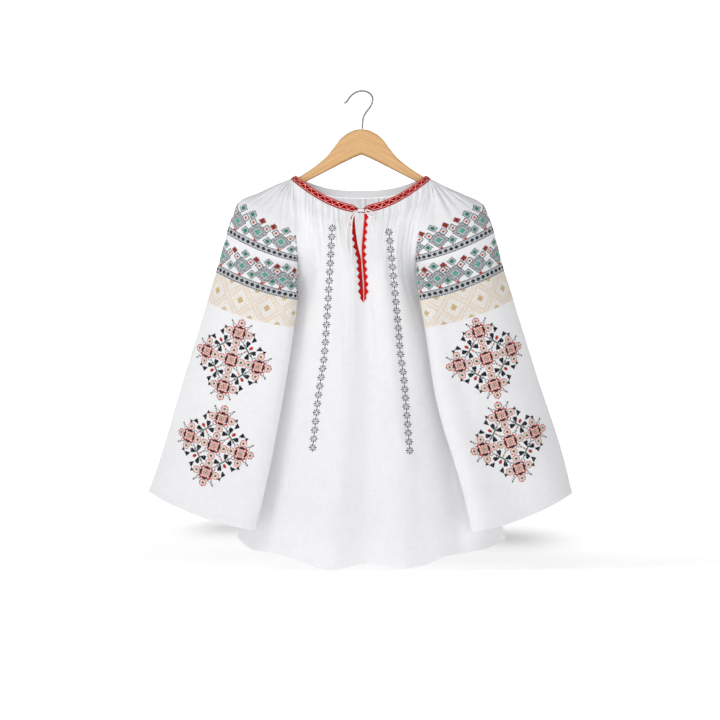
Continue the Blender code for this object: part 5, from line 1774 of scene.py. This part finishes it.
def stitch_finish():
    """Cotton thread: each pad shows two crossing threads, the upper one over the lower.

    A thread's height falls off with the distance from its diagonal of the pad's own square.
    The colour is painted darker where the height is low, as shade between and beside the threads.
    """
    finish = Finish("stitched_thread", 0.85)
    finish.shader.inputs["Specular IOR Level"].default_value = 0.08
    u, v, _ = finish.split(finish.uv("stitch"))
    first = finish.math("ABSOLUTE", finish.minus(u, v))
    second = finish.math("ABSOLUTE", finish.minus(finish.plus(u, v), 1.0))
    upper = finish.minus(1.0, finish.times(first, 2.6), clamp=True)
    lower = finish.minus(0.8, finish.times(second, 2.6), clamp=True)
    height = finish.math("MAXIMUM", upper, lower)
    ply = finish.math("SINE", finish.times(finish.plus(u, v), 34.0))
    height = finish.plus(height, finish.times(ply, 0.06))
    colour_node = finish.tree.nodes.new("ShaderNodeVertexColor")
    colour_node.layer_name = "thread"
    # painted shade: the thread colour is darkened where the height is low, between and beside the threads
    shade = finish.ramp(height, ((0.0, (0.84, 0.84, 0.84)), (0.5, (1.0, 1.0, 1.0))))
    colour = finish.blend(1.0, colour_node.outputs[0], shade, "MULTIPLY")
    normal = finish.bump(height, 0.5, 0.00025)
    return finish.done(colour, normal)


def braid_finish(name, dark, light, piping=0.0):
    """Satin-stitched braid: threads side by side across it, uneven in tone, and painted darker in the
    grooves between the threads, as shade.

    piping is the width in metres of a pale line along the edge where the flat width starts.
    """
    finish = Finish(name, 0.7)
    finish.shader.inputs["Specular IOR Level"].default_value = 0.12
    uv = finish.uv("cloth")
    u, v, _ = finish.split(uv)
    threads = finish.math("ABSOLUTE", finish.math("SINE", finish.times(v, math.pi / THREAD_PITCH)))
    uneven = finish.noise(finish.mapped(uv, (300.0, 1500.0, 1.0)), 1.0, 2.0)
    # painted shade: the tone is darker in the grooves between the threads, and it also varies at random
    # along them
    tone = finish.plus(finish.times(threads, 0.35), finish.times(uneven, 0.65))
    colour = finish.tinted(tone, ((0.25, dark), (0.75, light)))
    if piping:
        pale = finish.math("LESS_THAN", u, piping)
        colour = finish.blend(pale, colour, tuple(linear_colour((246, 196, 192))))
    normal = finish.bump(threads, 0.5, 0.0003)
    return finish.done(colour, normal)


def cord_finish():
    """White twisted cotton: fine fibres along each ply."""
    finish = Finish("white_cord", 0.85)
    finish.shader.inputs["Sheen Weight"].default_value = 0.3
    uv = finish.uv("cloth")
    fibre = finish.noise(finish.mapped(uv, (24.0, 900.0, 1.0), (0.0, 0.0, 0.35)), 1.0, 3.0, 0.6)
    colour = finish.tinted(fibre, ((0.3, (240, 239, 238)), (0.7, (254, 254, 254))))
    normal = finish.bump(fibre, 0.4, 0.0003)
    return finish.done(colour, normal)


def wood_finish():
    """Pale beech: grain along each arm, which slopes down both ways and meets in a V.

    The grain's rings are bands of a wave across the arm, bent by slow noise. Their coordinate is
    the height plus the slope of the arm times the distance from the middle. Noise drawn out
    along the arm gives the fibres, and short dark flecks lie between them. The lower side of the
    arm, found from the turn round it, is painted darker, as shade.
    """
    finish = Finish("satin_beech", 0.42)
    finish.shader.inputs["Coat Weight"].default_value = 0.2
    finish.shader.inputs["Coat Roughness"].default_value = 0.3
    x, y, z = finish.split(finish.place())
    out = finish.math("ABSOLUTE", finish.plus(x, 0.001))
    across = finish.plus(z, finish.times(out, 0.56))
    combine = finish.tree.nodes.new("ShaderNodeCombineXYZ")
    finish.join(out, combine.inputs[0])
    finish.join(y, combine.inputs[1])
    finish.join(across, combine.inputs[2])
    grain = combine.outputs[0]
    slow = finish.noise(finish.mapped(grain, (9.0, 20.0, 45.0)), 1.0, 2.0)
    bent = finish.plus(finish.times(across, 700.0), finish.times(slow, 22.0))
    rings = finish.plus(finish.times(finish.math("SINE", bent), 0.5), 0.5)
    fibre = finish.noise(finish.mapped(grain, (22.0, 300.0, 900.0)), 1.0, 4.0, 0.65)
    fleck = finish.noise(finish.mapped(grain, (120.0, 300.0, 1300.0)), 1.0, 1.0)
    tone = finish.plus(finish.times(rings, 0.09), finish.times(fibre, 0.95))
    tone = finish.plus(tone, finish.times(fleck, 0.30))
    colour = finish.tinted(tone, ((0.38, (196, 146, 92)), (0.66, (219, 173, 117)), (0.98, (234, 194, 142))))
    turn, _, _ = finish.split(finish.uv("cloth"))
    # painted shade: the colour is darker on the lower side of the arm, found from the turn round it
    painted_underside_shade = finish.ramp(turn, ((0.57, (1.0, 1.0, 1.0)), (0.62, (0.62, 0.58, 0.54)),
                                   (0.88, (0.72, 0.68, 0.64)), (0.93, (1.0, 1.0, 1.0))))
    colour = finish.blend(1.0, colour, painted_underside_shade, "MULTIPLY")
    normal = finish.bump(fibre, 0.15, 0.0002)
    return finish.done(colour, normal)


def steel_finish():
    """Drawn steel wire: fine lines along it and a slight change of gloss."""
    finish = Finish("steel_wire", 0.28, 1.0)
    uv = finish.uv("cloth")
    lines = finish.noise(finish.mapped(uv, (60.0, 40.0, 1.0)), 1.0, 3.0)
    colour = finish.tinted(lines, ((0.3, (128, 125, 121)), (0.7, (150, 147, 142))))
    normal = finish.bump(lines, 0.02, 0.00005)
    return finish.done(colour, normal)


def paper_finish():
    """White paper that is lit from within, more so far off, with painted shadows as dimmer soft spots
    behind the cuffs and one spot of painted light.

    Each spot is a bell of the distance from its middle, measured in the spot's own half sizes.
    """
    finish = Finish("white_paper", 1.0)
    finish.shader.inputs["Specular IOR Level"].default_value = 0.0
    x, y, _ = finish.split(finish.place())
    from_middle = finish.math("SQRT", finish.plus(finish.times(x, x), finish.times(y, y)))
    near, far = PAPER_REACH
    share = finish.math("DIVIDE", finish.minus(from_middle, near * MM), (far - near) * MM, clamp=True)
    glow = finish.plus(finish.times(share, PAPER_GLOW[1] - PAPER_GLOW[0]), PAPER_GLOW[0])
    # painted shadows: each spot dims the glow where the blouse shades the paper; the spot whose depth is
    # below nought brightens it, as painted light
    for spot_x, spot_y, half_x, half_y, depth in PAPER_PAINTED_SHADE_AND_LIGHT:
        across = finish.times(finish.minus(x, spot_x * MM), 1000.0 / half_x)
        back = finish.times(finish.minus(y, spot_y * MM), 1000.0 / half_y)
        square = finish.plus(finish.times(across, across), finish.times(back, back))
        bell = finish.times(finish.math("POWER", math.e, finish.times(square, -1.0)), depth)
        glow = finish.minus(glow, bell, clamp=True)
    grain = finish.noise(finish.place(), 60.0, 2.0)
    colour = finish.ramp(grain, ((0.2, (0.86, 0.86, 0.865)), (0.8, (0.88, 0.88, 0.88))))
    finish.shader.inputs["Emission Color"].default_value = (1.0, 1.0, 1.0, 1.0)
    finish.join(glow, finish.shader.inputs["Emission Strength"])
    return finish.done(colour)


# Studio

def set_camera():
    """Long lens, level with the middle of the picture, square on to the blouse."""
    data = bpy.data.cameras.new("photo_camera")
    data.sensor_width = SENSOR_WIDTH
    data.lens = SENSOR_WIDTH * CAMERA_DISTANCE / VIEW_WIDTH
    data.clip_end = 100.0
    made = bpy.data.objects.new("photo_camera", data)
    made.location = (VIEW_CENTRE[0] * MM, -CAMERA_DISTANCE * MM, VIEW_CENTRE[1] * MM)
    made.rotation_euler = (math.pi / 2, 0.0, 0.0)
    bpy.context.collection.objects.link(made)
    bpy.context.scene.camera = made


def add_area_light(name, place, target, size, power, colour):
    """A square soft light that faces its target and isn't pictured. Places are in metres."""
    data = bpy.data.lights.new(name, "AREA")
    data.size = size
    data.energy = power
    data.color = colour
    made = bpy.data.objects.new(name, data)
    made.location = place
    aim = Vector(target) - Vector(place)
    made.rotation_euler = aim.to_track_quat("-Z", "Y").to_euler()
    made.visible_camera = False
    bpy.context.collection.objects.link(made)


def set_world():
    """Even, dim white light from all round."""
    world = bpy.data.worlds.new("white_room")
    bpy.context.scene.world = world
    world.use_nodes = True
    background = world.node_tree.nodes["Background"]
    background.inputs["Color"].default_value = (0.97, 0.98, 1.0, 1.0)
    background.inputs["Strength"].default_value = ROOM_LIGHT


def white_bowl():
    """White paper that lies level under the hem and rises far off all round: a profile, turned."""
    reach = np.array(BOWL["reach"])
    reach = np.sort(np.concatenate([reach[1:], (reach[1:] + reach[:-1]) / 2]))
    height = np.interp(reach, BOWL["reach"], BOWL["z"])
    turns = np.linspace(0, 2 * np.pi, BOWL_TURNS, endpoint=False)
    rings = np.stack([reach[:, None] * np.cos(turns), reach[:, None] * np.sin(turns),
                      np.broadcast_to(height[:, None], (len(reach), BOWL_TURNS))], axis=-1)
    ids = grid_numbers(rings)
    around = np.concatenate([ids, ids[:, :1]], axis=1)
    middle = ids.size
    points = np.vstack([rings.reshape(-1, 3), [[0.0, 0.0, BOWL["z"][0]]]])
    faces = quads_between(around)[:, ::-1].tolist()
    faces += [(middle, ids[0, i], around[0, i + 1]) for i in range(BOWL_TURNS)]
    return make_mesh("paper", points, faces, [paper_finish()])


def light_studio():
    """Big soft light from the upper left, one from in front, two weak ones, and the paper.

    The smallest lies inside the blouse and lights its inner back, which shows at the neck.
    """
    middle = (0.0, 0.0, -0.45)
    add_area_light("window_left", (-2.0, -2.0, 0.95), middle, 1.3, 21.0, (1.0, 0.99, 0.975))
    add_area_light("fill_right", (2.4, -2.2, -0.2), middle, 2.0, 2.0, (0.96, 0.97, 1.0))
    add_area_light("front", (-0.1, -1.6, 1.0), middle, 1.0, 7.0, (1.0, 1.0, 1.0))
    add_area_light("inside", (0.0, -0.005, -0.27), (0.0, 0.045, -0.27), 0.15, 0.05, (1.0, 1.0, 1.0))
    white_bowl()
    scene = bpy.context.scene
    scene.view_settings.view_transform = "Standard"
    scene.view_settings.look = "None"


# Putting it together

def ride_and_replace(made, slot, *nodes):
    """Fasten a piece to the one body and hide the nodes it stands for; slot, the name of its finish, is not
    used.
    """
    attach(made, "root")
    if nodes:
        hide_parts(*nodes)


def dress_tie(surface):
    """The knot, the two free ends and the small loop."""
    knot = tied_knot(surface)
    ride_and_replace(knot, "tie_cord", "tie_knot")
    for node, route in TIE_STRANDS.items():
        made, path = twisted_cord(node.replace("tie_", "cord_"), route, surface)
        ride_and_replace(made, "tie_cord", node)


def dress_blouse(finishes):
    """Cloth, seams, neckband, trim and all embroidery."""
    front, back, sleeves = blouse_cloth()
    linen = finishes["linen"]
    front_piece = sew_wall("front_linen", front, [linen])
    back_piece = sew_wall("back_linen", back, [linen])
    ride_and_replace(front_piece, "linen", "front")
    ride_and_replace(back_piece, "linen", "back")
    for side in ("left", "right"):
        piece = sew_wall("sleeve_linen_" + side, sleeves[side], [linen])
        ride_and_replace(piece, "linen", "sleeve_" + side)
        for stitched in embroider_sleeve(side, sleeves[side], finishes["stitches"]):
            ride_and_replace(stitched, "linen")
    band = band_cloth()
    band_piece = sew_wall("neckband_linen", band, [finishes["band"], linen])
    ride_and_replace(band_piece, "red_trim", "neckband")
    ride_and_replace(embroider_band(band, finishes["stitches"]), "red_trim")
    tree = surface_tree(front)
    for side in ("left", "right"):
        braid = finishes["braid_" + side]
        piece = sew_wall("braid_" + side, trim_cloth(side, tree), [braid])
        ride_and_replace(piece, "red_trim", "slit_trim_" + side)
        ride_and_replace(star_column(side, tree, finishes["stitches"]), "linen")


def main():
    """Dress the frame."""
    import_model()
    set_camera()
    cord = cord_finish()
    dress_tie(cord)
    finishes = {
        "linen": linen_finish(),
        "stitches": stitch_finish(),
        "band": braid_finish("red_band", (150, 14, 20), (200, 26, 30)),
        # painted shade: the left braid is the same red braid as the right one, coloured darker as if it lay
        # in shade
        "braid_left": braid_finish("red_braid_painted_shade", (146, 6, 12), (204, 14, 20)),
        "braid_right": braid_finish("red_braid", (184, 8, 14), (226, 20, 26), 0.0009),
    }
    dress_blouse(finishes)
    ride_and_replace(carve_hanger(wood_finish()), "hanger_wood", "hanger")
    ride_and_replace(bend_hook(steel_finish()), "hook_steel", "hook")
    set_world()
    light_studio()


main()
